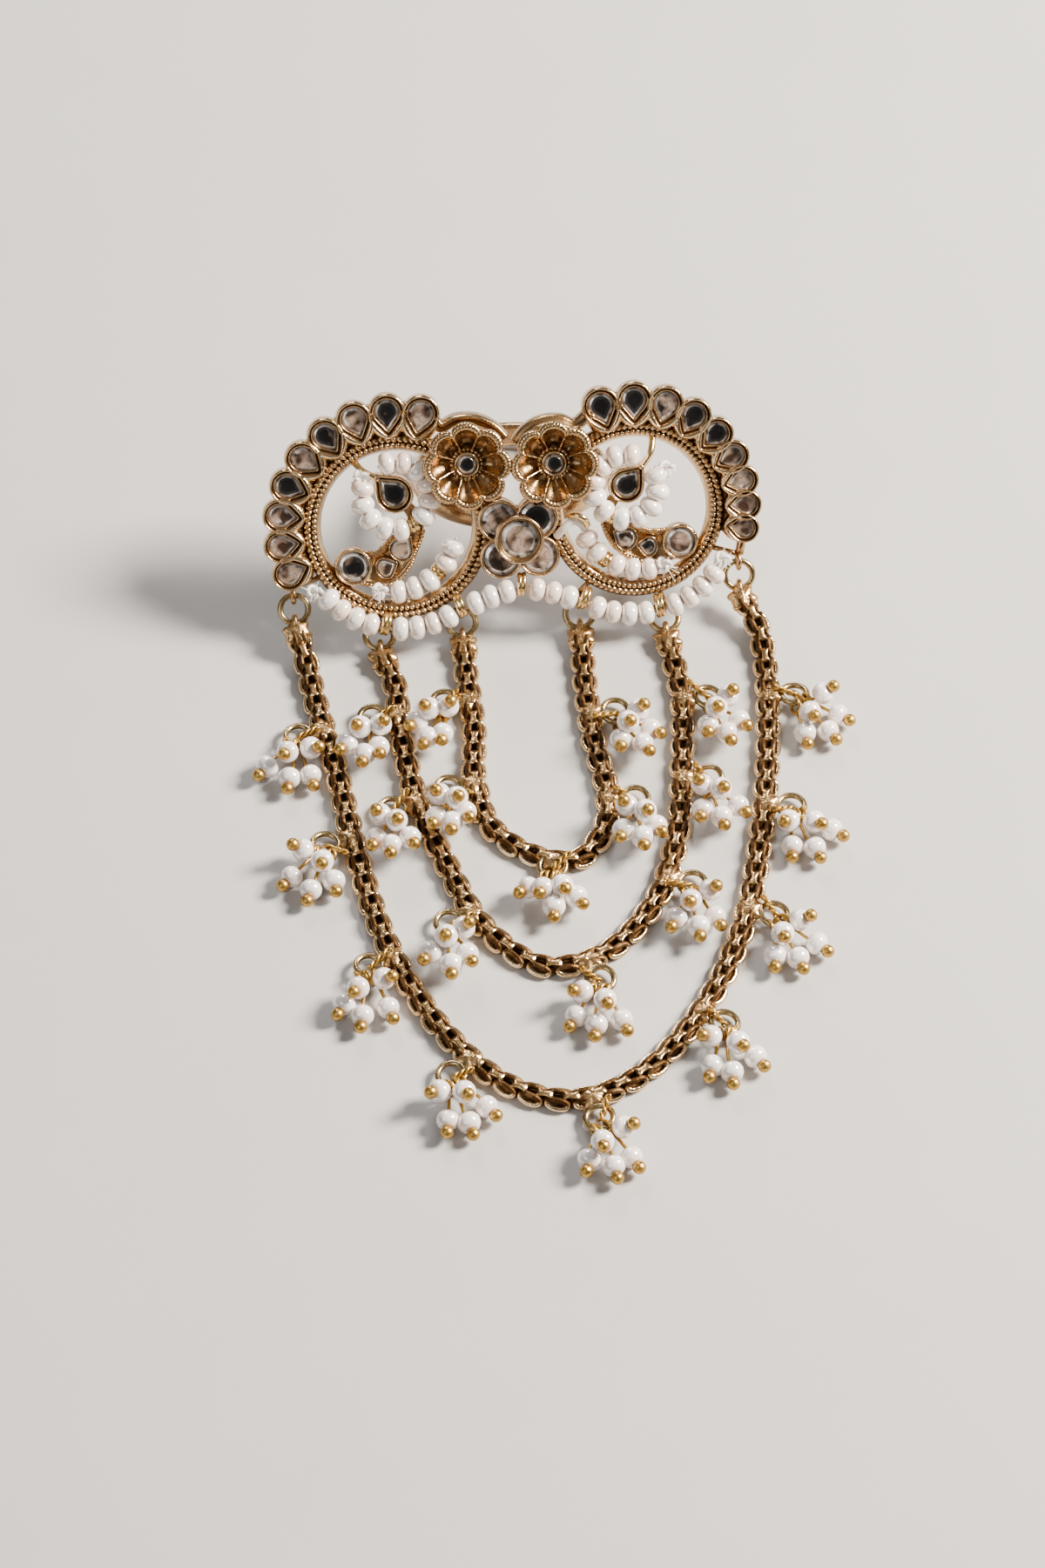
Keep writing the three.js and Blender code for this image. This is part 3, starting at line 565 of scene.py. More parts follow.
def petal_reach(angle):
    """Radius of the rosette's edge: full on a petal's middle and drawn in between two petals."""
    full = np.abs(np.cos(PETALS * angle / 2)) ** 0.5
    return ROSETTE_RADIUS * (1 - ROSETTE_SCALLOP + ROSETTE_SCALLOP * full)


def beaded_ring(path, wire, grains, centre_out, depth=0.5):
    """A closed path thickened to grains: the wire swells with the cosine of the place along it."""
    count = path.shape[0]
    phi = np.linspace(0, 2 * np.pi, 8, endpoint=False)
    swell = np.abs(np.cos(np.pi * grains * np.arange(count) / count))[:, None] ** 0.8
    thick = wire * (1.1 - depth + depth * swell)
    points = path[:, None] + (thick * np.cos(phi))[..., None] * centre_out[:, None]
    points[..., 2] += thick * np.sin(phi)
    return points, 0.05 + 1.8 * depth * (1 - swell) + 0 * phi


def spokes(count):
    """Angles at equal steps round a circle, and the directions that they point in."""
    angle = np.linspace(0, 2 * np.pi, count, endpoint=False)
    return angle, np.stack([np.cos(angle), np.sin(angle), 0 * angle], -1)


rosette_parts = []
small_stone_parts = []
petal_angle, _ = spokes(128)
petal_share = np.linspace(0.2, 1.0, 16)[:, None]
for half in HALVES:
    centre = spot(half, *half["rosette"])
    reach = petal_reach(petal_angle)
    top = petal_shape(petal_share, petal_angle)
    wall = petal_shape(1.0, petal_angle) - ROSETTE_WALL - ROSETTE_FOOT
    under = ROSETTE_FOOT + wall * np.clip((petal_share[::-1] - 0.6) / 0.4, 0, 1) ** 0.7
    radius = np.vstack([petal_share * reach, petal_share[::-1] * (reach + ROSETTE_THICK)])
    height = np.vstack([top, under])
    cup = centre + np.stack([radius * np.cos(petal_angle), radius * np.sin(petal_angle), height], -1)
    dip = np.abs(np.cos(PETALS * petal_angle / 2))
    sunk = petal_swell(petal_share) ** 0.7
    inner_shade = 0.08 + 0.3 * sunk * dip**0.5 + 0.7 * (0.45 - petal_share).clip(0)
    rosette_parts.append(cast(cup, np.vstack([inner_shade, 0.35 + 0 * under])))
    dense, out = spokes(ROSETTE_GRAINS * 6)
    rim_line = centre + out * petal_reach(dense)[:, None] + [0, 0, 1] * petal_shape(1.0, dense)[:, None]
    points, tone = beaded_ring(rim_line, ROSETTE_EDGE, ROSETTE_GRAINS, out, 0.1)
    rosette_parts.append(patch(on_head(points), (True, True), tone=tone))
    _, out = spokes(COLLAR_GRAINS * 6)
    collar = centre + out * COLLAR_RADIUS + [0, 0, COLLAR_RISE]
    points, tone = beaded_ring(collar, COLLAR_WIRE, COLLAR_GRAINS, out)
    rosette_parts.append(patch(on_head(points), (True, True), tone=tone))
    cup = stood(round_outline(), SMALL_CUP, centre[:2], 0.0)
    rosette_parts.append(cast(cup, SMALL_CUP[:, 2:]))
    stone = stood(round_outline(), STONE_PROFILE, centre[:2], 0.0, SMALL_STONE_SIZE, SMALL_STONE_LIFT)
    small_stone_parts.append(foiled(stone, SMALL_PALENESS))
    stem = np.linspace(centre + [0, 0, STEM_RISE], [0, FLOWER_HEIGHT, STEM_RISE], 8)
    rosette_parts.append(cast(swept(stem, STEM_SECTION), 0.3))
    arm_angle = np.radians(np.linspace(*ARM_TURN, 6))
    round_rosette = half["rosette"] + ARM_REACH * np.stack([np.cos(arm_angle), np.sin(arm_angle)], -1)
    arm = smooth_line([spot(half, *place) for place in (ARM_START, *round_rosette)], 40)
    rosette_parts.append(cast(swept(arm, ARM_SECTION[:, :2]), ARM_SECTION[:, 2]))
rosettes = made("rosettes", rosette_parts, antique_gold)
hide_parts("ring_frame")
rosette_stones = made("rosette_stones", small_stone_parts, mirror_stone)
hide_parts("rosette_stone_left", "rosette_stone_right")

# Flower
# Four round petal cups with stones, and a larger cup with a round stone soldered over them.
# The big stone is clear and its foil reflects softly.
FLOWER_PETALS, PETAL_OUT = 4, 2.55
PETAL_CUP = np.array([
    # radius, rise, tone
    [2.0, 0.0, 0.9], [2.06, 0.6, 0.6], [2.1, 1.3, 0.25], [2.06, 1.9, 0.1], [1.98, 2.2, 0.0],
    [1.88, 2.26, 0.0], [1.78, 2.2, 0.1], [1.72, 2.05, 0.6], [1.68, 1.95, 0.8], [1.68, 1.5, 0.9],
])
PETAL_STONE_SIZE, PETAL_STONE_LIFT = 1.45, 1.86
PETAL_PALENESS = [0.1, 0.72, 0.5, 0.8]
BIG_CUP = np.array([
    [2.3, 1.0, 0.9], [2.4, 1.6, 0.5], [2.42, 2.3, 0.2], [2.38, 2.75, 0.05], [2.3, 2.98, 0.0],
    [2.2, 3.04, 0.0], [2.1, 2.98, 0.05], [2.03, 2.8, 0.35], [1.98, 2.62, 0.7], [1.94, 2.58, 0.4],
    [1.88, 2.62, 0.15], [1.82, 2.55, 0.5], [1.78, 2.4, 0.8], [1.78, 1.9, 0.9],
])
BIG_STONE_SIZE, BIG_STONE_LIFT, BIG_PALENESS = 1.57, 2.38, 0.62

petal_way = 2 * np.pi * (np.arange(FLOWER_PETALS) + 0.5) / FLOWER_PETALS
flower_middle = np.array([0.0, FLOWER_HEIGHT])
petal_centres = flower_middle + PETAL_OUT * np.stack([np.cos(petal_way), np.sin(petal_way)], -1)
petal_places = (petal_centres, np.zeros(FLOWER_PETALS))
petal_cups = stood(round_outline(), PETAL_CUP, *petal_places)
big_cup = stood(round_outline(56), BIG_CUP, flower_middle, 0.0)
flower_cups = made(
    "flower_cups",
    [
        cast(petal_cups, PETAL_CUP[:, 2:]),
        cast(big_cup, BIG_CUP[:, 2:]),
    ],
    antique_gold,
)
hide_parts("ring_frame")
petal_stones = stood(round_outline(), STONE_PROFILE, *petal_places, PETAL_STONE_SIZE, PETAL_STONE_LIFT)
big_stone = stood(round_outline(56), STONE_PROFILE, flower_middle, 0.0, BIG_STONE_SIZE, BIG_STONE_LIFT)
petal_pale = np.reshape(PETAL_PALENESS, (-1, 1, 1))
flower_stones = made(
    "flower_stones",
    [
        foiled(petal_stones, petal_pale),
        foiled(big_stone, BIG_PALENESS),
    ],
    mirror_stone,
)
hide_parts("flower_stone")

# Curls
# Inside each circle a cast strip curls from a round setting over two small stones to a thin neck,
# which carries a teardrop setting. Strip and settings are one casting with the circle.
CURL_ROUND, CURL_ROUND_SIZE = (4.2, -3.45), 0.86
CURL_LINE = [(4.2, -3.45), (1.35, -3.85), (-0.85, -2.4), (-2.1, -0.8), (-2.0, 0.7), (-0.4, 2.5)]
CURL_BENT_FROM = 2
CURL_WIDTH = np.array([2.6, 3.2, 3.1, 1.7, 1.15, 1.0])
CURL_SLIMMING = ((1.34, 1.7), (0.55, 1.0))  # widths, and the share of its height that each keeps
CURL_SECTION = np.array([
    # across, up, tone
    [-0.48, 0.0, 0.8], [-0.52, 0.5, 0.4], [-0.5, 0.95, 0.1], [-0.44, 1.08, 0.0], [-0.38, 1.0, 0.2],
    [-0.35, 0.78, 0.25], [0.35, 0.78, 0.25], [0.38, 1.0, 0.2], [0.44, 1.08, 0.0], [0.5, 0.95, 0.1],
    [0.52, 0.5, 0.4], [0.48, 0.0, 0.8],
])
ROUND_CUP = np.array([
    # radius, rise, tone
    [2.0, 0.0, 0.9], [2.08, 0.5, 0.5], [2.1, 1.1, 0.2], [2.04, 1.5, 0.05], [1.95, 1.68, 0.0],
    [1.85, 1.72, 0.0], [1.75, 1.66, 0.1], [1.68, 1.5, 0.6], [1.65, 1.4, 0.8], [1.65, 1.0, 0.9],
])
ROUND_STONE_SIZE, ROUND_STONE_LIFT = 1.42, 1.34
ROUND_PALENESS = {"left": 0.3, "right": 0.55}
KITES = [
    # along the curl, length, width, paleness left, paleness right
    (0.26, 0.72, 0.88, 0.5, 0.35),
    (0.46, 0.88, 1.0, 0.75, 0.5),
]
KITE_SIZE, KITE_LIFT = 0.84, 0.92
KITE_CUP = np.array([
    [1.46, 0.5, 0.6], [1.48, 0.95, 0.2], [1.43, 1.2, 0.0], [1.34, 1.24, 0.0], [1.26, 1.12, 0.4],
    [1.22, 0.8, 0.9],
])
EDGE_GRAIN, EDGE_GRAINS, EDGE_SPAN, EDGE_RISE = 0.24, 26, (0.06, 0.66), 0.95
PEARL_AT, PEARL_TURN, PEARL_SIZE = (-0.4, 2.8), 42.0, 1.06
PEARL_STONE_LIFT, PEARL_PALENESS = RIM_STONE_LIFT + 0.1, 0.05


def walked(line, distances):
    """Points and directions at distances along a line, found by its length so far."""
    step = np.concatenate([[0], np.cumsum(np.linalg.norm(np.diff(line, axis=0), axis=1))])
    slope = np.gradient(line, axis=0)
    at = np.stack([np.interp(distances, step, line[:, axis]) for axis in range(3)], -1)
    way = np.stack([np.interp(distances, step, slope[:, axis]) for axis in range(3)], -1)
    return at, way / np.linalg.norm(way, axis=-1, keepdims=True)


def line_length(line):
    """The sum of the steps along a line."""
    return np.linalg.norm(np.diff(line, axis=0), axis=1).sum()


def bent(half, point):
    """A point of the curl moved by the amount that this half's curl is bent."""
    return point[0] + half["bend"][0], point[1] + half["bend"][1]


def curl_line(half):
    """The curl's middle line in the head's plane, its free part bent with the half."""
    places = [place if i < CURL_BENT_FROM else bent(half, place) for i, place in enumerate(CURL_LINE)]
    return smooth_line([spot(half, *place) for place in places], 90)


def balls(centres, radius):
    """Grains: a circle whose radius follows the sine of the way from one pole to the other."""
    psi = np.linspace(0.12, np.pi - 0.12, 8)[:, None]
    phi = np.linspace(0, 2 * np.pi, 12, endpoint=False)
    ball = np.stack([np.sin(psi) * np.cos(phi), np.sin(psi) * np.sin(phi), np.cos(psi) + 0 * phi], -1)
    return centres[:, None, None] + radius * ball


curl_parts = []
curl_stone_parts = []
pearl_stone_parts = []
for half in HALVES:
    line = curl_line(half)
    last = len(CURL_WIDTH) - 1
    width = np.interp(np.linspace(0, last, len(line)), np.arange(last + 1), CURL_WIDTH) * half["size"]
    section = np.tile(CURL_SECTION[:, :2], (len(line), 1, 1))
    section[..., 0] *= width[:, None]
    section[..., 1] *= np.interp(width, *CURL_SLIMMING)[:, None]
    curl_parts.append(cast(swept(line, section), CURL_SECTION[:, 2]))
    share = np.linspace(*EDGE_SPAN, EDGE_GRAINS)
    at, way = walked(line, share * line_length(line))
    width_there = np.interp(share, np.linspace(0, 1, len(width)), width)[:, None]
    beside = np.cross(way, [0, 0, 1]) * 0.5 * width_there
    for edge_side in (-1, 1):
        grains = balls(at + edge_side * beside + [0, 0, EDGE_RISE], EDGE_GRAIN)
        curl_parts.append(cast(grains, 0.15))
    round_at = spot(half, *CURL_ROUND)[:2]
    round_size = half["size"] * CURL_ROUND_SIZE
    stone_size = round_size * ROUND_STONE_SIZE
    cup = stood(round_outline(), ROUND_CUP, round_at, 0.0, round_size)
    curl_parts.append(cast(cup, ROUND_CUP[:, 2:]))
    pearl_at = spot(half, *bent(half, PEARL_AT))[:2]
    pearl_place = (pearl_at, -half["side"] * np.radians(PEARL_TURN), half["size"] * PEARL_SIZE)
    cup = stood(teardrop, TEARDROP_CUP, *pearl_place)
    curl_parts.append(cast(cup, TEARDROP_CUP[:, 2:3]))
    stone = stood(round_outline(), STONE_PROFILE, round_at, 0.0, stone_size, ROUND_STONE_LIFT)
    curl_stone_parts.append(foiled(stone, ROUND_PALENESS[half["name"]]))
    for share, length, breadth, pale_left, pale_right in KITES:
        at, way = walked(line, share * line_length(line))
        kite = teardrop * [breadth, length]
        kite_place = (at[:2], np.arctan2(way[1], way[0]) - np.pi / 2, half["size"] * KITE_SIZE)
        bezel = stood(kite, KITE_CUP, *kite_place)
        curl_parts.append(cast(bezel, KITE_CUP[:, 2:]))
        stone = stood(kite, STONE_PROFILE, *kite_place, KITE_LIFT)
        pale = pale_left if half["side"] < 0 else pale_right
        curl_stone_parts.append(foiled(stone, pale))
    stone = stood(teardrop, STONE_PROFILE, *pearl_place, PEARL_STONE_LIFT)
    pearl_stone_parts.append(foiled(stone, PEARL_PALENESS))
curls = made("curls", curl_parts, antique_gold)
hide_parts("ring_frame")
curl_stones = made("curl_stones", curl_stone_parts, mirror_stone)
pearl_stones = made("pearl_stones", pearl_stone_parts, mirror_stone)
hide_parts("pearl_stone_left", "pearl_stone_right")

# Bead strings
# Cream seed beads with a pearl coating, threaded in groups: a loop round each teardrop setting,
# a short row inside each circle, and one long string under both circles.
BEAD_RADIUS, BEAD_PITCH, BEAD_HOLE = 1.18, 1.6, 0.2
BEAD_LENGTH = 1.03 * BEAD_PITCH
BEAD_END, BEAD_FULLNESS, BEAD_VARIETY = 1.33, 0.72, 0.06
BEAD_HOLE_EDGE, BEAD_END_SHADE = 0.18, 0.3
CLOUD_SCALE, HAZE_SCALE = 900.0, 3000.0
LOOP_AT, LOOP_RADIUS, LOOP_RISE, LOOP_GROUPS, LOOP_GAP = (-0.5, 2.65), 3.15, 1.9, (6, 5), 1.5
LOOP_GAP_SHARES = (0.1, 0.75)
ROW_RADII, ROW_RISE, ROW_GROUPS, ROW_GAP = (6.25, 5.6), 0.9, (3, 2), 0.75
GARLAND_RADII, GARLAND_SPAN, GARLAND_RISE = (9.1, 9.6), (124, 213), 2.2
GARLAND_GROUPS, GARLAND_UNDER_FLOWER = (4, 4, 3, 3, 4, 4), 4.9
BEAD_CREAM = (0.97, 0.76, 0.63, 1.0)
BEAD_WHITE = (0.99, 0.93, 0.87, 1.0)
BEAD_HOLE_SHADE = (0.45, 0.32, 0.24, 1.0)


def beaded(name, cream, white):
    """Pearl coating: a cream that wanders to white over each bead and from bead to bead, under a
    clear coat."""
    finish, tree, shader = new_finish(name)
    cloud = speckle(tree, CLOUD_SCALE, 2.0)
    drift = sums(tree, "MULTIPLY_ADD", cloud, 0.9, marked(tree, "tint"))
    drift = sums(tree, "SUBTRACT", drift, 0.45, clamped=True)
    colour = mixed(tree, drift, cream, white)
    joined(tree, shader, {
        "Coat Weight": 1.0, "Coat Roughness": 0.04, "Coat IOR": 2.2,
        "Subsurface Weight": 0.12, "Subsurface Radius": (0.0009, 0.0006, 0.0005),
        # The tone mark paints shade into each bead's hole and towards its ends.
        "Base Color": mixed(tree, marked(tree, "tone"), colour, BEAD_HOLE_SHADE),
        "Roughness": sums(tree, "MULTIPLY_ADD", speckle(tree, HAZE_SCALE), 0.16, 0.12),
        "Normal": bumped(tree, cloud, 0.12, 0.00005),
    })
    return finish


def threaded(centres, ways, radius, length, up, tints):
    """Beads with a hole through them, turned about each thread direction: the radius follows a power
    of the cosine from end to end, then runs back through the hole."""
    phi = np.linspace(0, 2 * np.pi, 16, endpoint=False)
    psi = np.linspace(-BEAD_END, BEAD_END, 11)
    out = np.concatenate([radius * np.cos(psi) ** BEAD_FULLNESS, np.full(3, BEAD_HOLE)])[:, None]
    along = np.concatenate([length / 2 * np.sin(psi), length / 2 * np.array([0.8, 0, -0.8])])[:, None]
    across = np.cross(ways, np.broadcast_to(up, ways.shape))
    across = across / np.linalg.norm(across, axis=-1, keepdims=True)
    above = np.cross(across, ways)
    scale = (1 + BEAD_VARIETY * (tints - 0.5))[:, None, None, None]
    local = (
        (along + 0 * phi)[None, ..., None] * ways[:, None, None]
        + (out * np.cos(phi))[None, ..., None] * across[:, None, None]
        + (out * np.sin(phi))[None, ..., None] * above[:, None, None]
    )
    # Painted shade: the tone is dark inside the hole and grows towards both ends of each bead.
    hole_and_end_shade = np.clip(1.3 - (out - BEAD_HOLE) / BEAD_HOLE_EDGE, 0, 1)
    hole_and_end_shade = np.maximum(hole_and_end_shade, BEAD_END_SHADE * np.abs(2 * along / length) ** 5) + 0 * phi
    points = centres[:, None, None] + local * scale
    return points, hole_and_end_shade, np.broadcast_to(tints[:, None, None], points.shape[:-1])


def arc_line(half, radii, span, rise, sag=0.0, count=9):
    """Points on an arc of a half whose radius changes evenly with the angle."""
    share = np.linspace(0, 1, count)
    angle = np.radians(span[0] + (span[1] - span[0]) * share)
    reach = radii[0] + (radii[1] - radii[0]) * share + sag
    return spot(half, reach * np.sin(angle), reach * np.cos(angle), rise)


def loop_line(half):
    """A ring of points round the teardrop setting, open beside the setting's point."""
    middle = spot(half, *bent(half, LOOP_AT), LOOP_RISE)
    open_angle = 360 * LOOP_GAP / (2 * np.pi * LOOP_RADIUS)
    angle = np.radians(PEARL_TURN - open_angle / 2 - (360 - open_angle) * np.linspace(0, 1, 25))
    reach = LOOP_RADIUS * half["size"]
    return middle + np.stack([half["side"] * reach * np.sin(angle), reach * np.cos(angle), 0 * angle], -1)


def bead_places(groups, gaps):
    """Distances of the bead middles along a string: each group starts after its gap."""
    starts = np.cumsum(np.array(gaps) + np.concatenate([[0], np.array(groups[:-1]) * BEAD_PITCH]))
    return np.concatenate([start + BEAD_PITCH * (np.arange(n) + 0.5) for start, n in zip(starts, groups)])


left, right = HALVES
strings = {}
for half in HALVES:
    line = smooth_line(loop_line(half))
    spare = line_length(line) - sum(LOOP_GROUPS) * BEAD_PITCH
    loop_gaps = [spare * share for share in LOOP_GAP_SHARES]
    strings[f"pearl_loop_{half['name']}"] = (line, LOOP_GROUPS, loop_gaps)
    line = smooth_line(arc_line(half, ROW_RADII, half["row"], ROW_RISE))
    strings[f"bead_row_{half['name']}"] = (line, ROW_GROUPS, [ROW_GAP / 2, ROW_GAP])
under_flower = np.array([[0, FLOWER_HEIGHT - GARLAND_UNDER_FLOWER, GARLAND_RISE]])
garland_points = [
    arc_line(left, GARLAND_RADII, GARLAND_SPAN, GARLAND_RISE, left["sag"]),
    under_flower,
    arc_line(right, GARLAND_RADII, GARLAND_SPAN, GARLAND_RISE, right["sag"])[::-1],
]
line = smooth_line(np.vstack(garland_points), 900)
garland_gap = (line_length(line) - sum(GARLAND_GROUPS) * BEAD_PITCH) / len(GARLAND_GROUPS)
garland_gaps = [garland_gap / 2] + [garland_gap] * (len(GARLAND_GROUPS) - 1)
strings["bead_garland"] = (line, GARLAND_GROUPS, garland_gaps)

pearl_coating = beaded("cream pearl coating", BEAD_CREAM, BEAD_WHITE)
for name, (line, groups, gaps) in strings.items():
    centres, ways = walked(line, bead_places(groups, gaps))
    tints = chance.uniform(0, 1, len(centres))
    points, hole_and_end_shade, tint = threaded(centres, ways, BEAD_RADIUS, BEAD_LENGTH, (0, 0, 1), tints)
    beads = patch(on_head(points), (True, True), tone=hole_and_end_shade, tint=tint)
    string = made(name + "_beads", [beads], pearl_coating)
    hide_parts(name)

# Thread
# White thread runs through the beads of each string and is knotted and glued at the ends.
# The knots are frayed lumps that sit on the casting, and several turns laid side by side hold
# the right row's first bead.
THREAD_RADIUS, THREAD_STEPS = 0.16, 120
THREAD_WHITE = (0.92, 0.87, 0.81, 1.0)
THREAD_SHADE = (0.84, 0.77, 0.70, 1.0)
KNOT_SIZE, KNOT_THREAD = 0.85, 0.2
KNOTS = [
    # half, outward, up, rise
    (left, 8.0, -5.6, 1.9), (left, 3.0, 4.9, 1.9), (left, 1.9, -5.95, 1.2), (left, -5.0, -2.3, 1.2),
    (right, 3.1, 3.9, 1.9), (right, 2.5, -5.7, 1.3), (right, 8.2, -5.4, 2.0),
]
FRAY_COUNT, FRAY_STEPS, FRAY_ROOT, FRAY_TIP = 40, 6, 0.075, 0.03
FRAY_LENGTH, FRAY_CURL, FRAY_FLATTENING, FRAY_UP = (0.8, 1.5), 0.25, 0.7, (0.3, 0.5, 0.81)
FIBRE_SCALE = 7000.0
TURNS_RADIUS = 0.4
TURNS = np.array([
    # outward, up, rise
    [-7.9, -2.2, 1.4], [-7.1, -1.3, 1.9], [-6.3, -0.7, 1.9], [-5.6, -0.95, 1.6], [-5.0, -1.7, 1.1],
])

thread_white, tree, shader = new_finish("white thread")
fibre = speckle(tree, FIBRE_SCALE, 4.0)
joined(tree, shader, {
    "Sheen Weight": 0.4, "Base Color": mixed(tree, fibre, THREAD_SHADE, THREAD_WHITE),
    "Roughness": sums(tree, "MULTIPLY_ADD", fibre, 0.2, 0.6),
    "Normal": bumped(tree, fibre, 0.6, 0.0001),
})


def round_section(radius, sides):
    """A circle of points, across and up."""
    return round_outline(sides) * radius


def knot_coil(centre, size):
    """A closed three-lobed knot: it goes twice round, and its radius and height swing with the
    cosine and sine of one and a half times the angle."""
    t = np.linspace(0, 4 * np.pi, 72, endpoint=False)
    reach = size * (0.55 + 0.28 * np.cos(1.5 * t))
    lift = 0.34 * size * np.sin(1.5 * t)
    return centre + np.stack([reach * np.cos(t), reach * np.sin(t), lift], -1)


def fray(centre, size, count):
    """Loose ends: short arcs that leave the knot in every direction and curl as they go."""
    way = chance.normal(size=(count, 1, 3))
    way /= np.linalg.norm(way, axis=-1, keepdims=True)
    way[..., 2] = np.abs(way[..., 2]) * FRAY_FLATTENING
    bend = chance.normal(size=(count, 1, 3)) * FRAY_CURL
    share = np.linspace(0, 1, FRAY_STEPS)[None, :, None]
    length = chance.uniform(*FRAY_LENGTH, (count, 1, 1)) * size
    return centre + way * share * length + bend * share**2 * length


thread_parts = []
for line, _, _ in strings.values():
    line = line[:: max(1, len(line) // THREAD_STEPS)]
    thread_parts.append(patch(on_head(swept(line, round_section(THREAD_RADIUS, 6))), capped=True))
for half, outward, up, rise in KNOTS:
    centre = spot(half, outward, up, rise)
    coil = swept(knot_coil(centre, KNOT_SIZE), round_section(KNOT_THREAD, 7), closed=True)
    thread_parts.append(patch(on_head(coil), (True, True)))
    taper = np.linspace(FRAY_ROOT, FRAY_TIP, FRAY_STEPS)[None, :, None, None] * round_section(1.0, 4)
    ends = swept(fray(centre, KNOT_SIZE, FRAY_COUNT), taper, up=FRAY_UP)
    thread_parts.append(patch(on_head(ends), capped=True))
turns = swept(smooth_line(spot(right, *TURNS.T), 60), round_section(TURNS_RADIUS, 10))
thread_parts.append(patch(on_head(turns), capped=True))
made("threads", thread_parts, thread_white)

# Wire wraps
# Bright wire is wound round thread and casting in the gaps between the bead groups.
# Each wrap is a turn and a half pulled tight. A thicker wire ties each teardrop's point to its
# circle, and another lies over the right row's first bead.
WRAP_WIRE, WRAP_TURNS, WRAP_LENGTH, WRAP_SINK = 0.26, 1.6, 0.62, 0.55
GARLAND_WRAP = (-0.35, 0.95, 1.0)  # outward, reach, rise
INNER_WRAP = (0.0, 0.62, 0.9)
TIP_WIRE, TIP_FROM, TIP_REACH, TIP_RISE, TIP_FOOT = 0.34, 2.1, 7.3, 1.7, 0.9
TIP_BOW = np.array([0.3, 0.0, 0.5])
TIE = np.array([
    # outward, up, rise
    [-6.5, -0.25, 1.7], [-5.9, -0.05, 2.3], [-5.2, -0.4, 2.4], [-4.85, -1.2, 1.9],
])
WRAP_BRIGHT = (0.88, 0.62, 0.26, 1.0)
WRAP_RECESS = (0.30, 0.17, 0.06, 1.0)

bright_wire = plated("bright wire", WRAP_BRIGHT, WRAP_RECESS, 0.5)


def wrap_line(at, way, shift, reach, rise):
    """A flattened coil about a direction: its two radii point outward and off the head's plane."""
    t = np.linspace(0, 1, int(WRAP_TURNS * 22))[:, None]
    swing = 2 * np.pi * WRAP_TURNS * t
    out, off = np.cross(way, [0, 0, 1]), np.array([0, 0, 1])
    middle = at + out * shift - off * WRAP_SINK + way * (t - 0.5) * WRAP_LENGTH
    return middle + out * reach * np.cos(swing) + off * rise * np.sin(swing)


def gap_middles(groups, gaps):
    """Distances of the gaps' middles along a string, the first gap left out."""
    ends = np.cumsum(np.array(gaps) + np.array(groups) * BEAD_PITCH)
    return ends[:-1] + np.array(gaps[1:]) / 2


wrap_parts = []
for name, (line, groups, gaps) in strings.items():
    wrap = GARLAND_WRAP if name == "bead_garland" else INNER_WRAP
    for distance in gap_middles(groups, gaps):
        at, way = walked(line, distance)
        coil = swept(wrap_line(at, way, *wrap), round_section(WRAP_WIRE, 7), up=way)
        wrap_parts.append(cast(coil, 0.1))
for half in HALVES:
    lean, foot = np.radians([PEARL_TURN, half["tip"]])
    pointing = np.array([half["side"] * np.sin(lean), np.cos(lean), 0])
    start = spot(half, *bent(half, PEARL_AT), TIP_RISE) + TIP_FROM * pointing
    end = spot(half, TIP_REACH * np.sin(foot), TIP_REACH * np.cos(foot), TIP_FOOT)
    tip = smooth_line([start, (start + end) / 2 + TIP_BOW * [half["side"], 1, 1], end], 20)
    wrap_parts.append(cast(swept(tip, round_section(TIP_WIRE, 8)), 0.05))
tie = smooth_line(spot(right, *TIE.T), 40)
wrap_parts.append(cast(swept(tie, round_section(TIP_WIRE, 8)), 0.05))
wire_wraps = made("wire_wraps", wrap_parts, bright_wire)

# Hanging eyes and end rings
# Six wire eyes are soldered under the head on short stems, and a brace joins each outer one to
# its rim's last setting. A jump ring of pale wire in each carries a chain's end.
CHAIN_EYES = {
    # angle, radius, rise, height of the chain's own eye
    "outer": (120.8, 11.55, 0.5, 2.8),
    "middle": (166.5, 9.35, 0.35, 1.0),
    "inner": (214.0, 9.9, 0.35, 1.0),
}
EYE_RADIUS, EYE_WIRE, EYE_STEM, BRACE_WIRE = 0.7, 0.27, 0.55, 0.45
FOOT_REACH = 8.48
END_RING_RADIUS, END_RING_WIRE = 1.35, 0.3
RING_BRIGHT = (0.50, 0.37, 0.18, 1.0)
RING_RECESS = (0.10, 0.07, 0.035, 1.0)
UPWARDS = np.array([0.0, 0.0, 1.0])

ring_wire = plated("pale ring wire", RING_BRIGHT, RING_RECESS, 0.6)


def wire_rings(centres, axes, radius, wire, steps=28, sides=8):
    """Rings of round wire: a circle about each axis, thickened by a circle that stands on it."""
    centres, axes = (np.reshape(v, (-1, 3)) for v in (centres, axes))
    axes = axes / np.linalg.norm(axes, axis=-1, keepdims=True)
    helper = np.where(np.abs(axes[:, 2:]) > 0.9, [[1.0, 0, 0]], [[0, 0, 1.0]])
    first = np.cross(axes, helper)
    first /= np.linalg.norm(first, axis=-1, keepdims=True)
    second = np.cross(axes, first)
    theta = np.linspace(0, 2 * np.pi, steps, endpoint=False)[None, :, None]
    out = np.cos(theta) * first[:, None] + np.sin(theta) * second[:, None]
    section = round_section(wire, sides)
    ring = out[:, :, None] * (radius + section[:, :1]) + axes[:, None, None] * section[:, 1:]
    return centres[:, None, None] + ring


def unit(vector):
    """The vector divided by its length."""
    return vector / np.linalg.norm(vector)


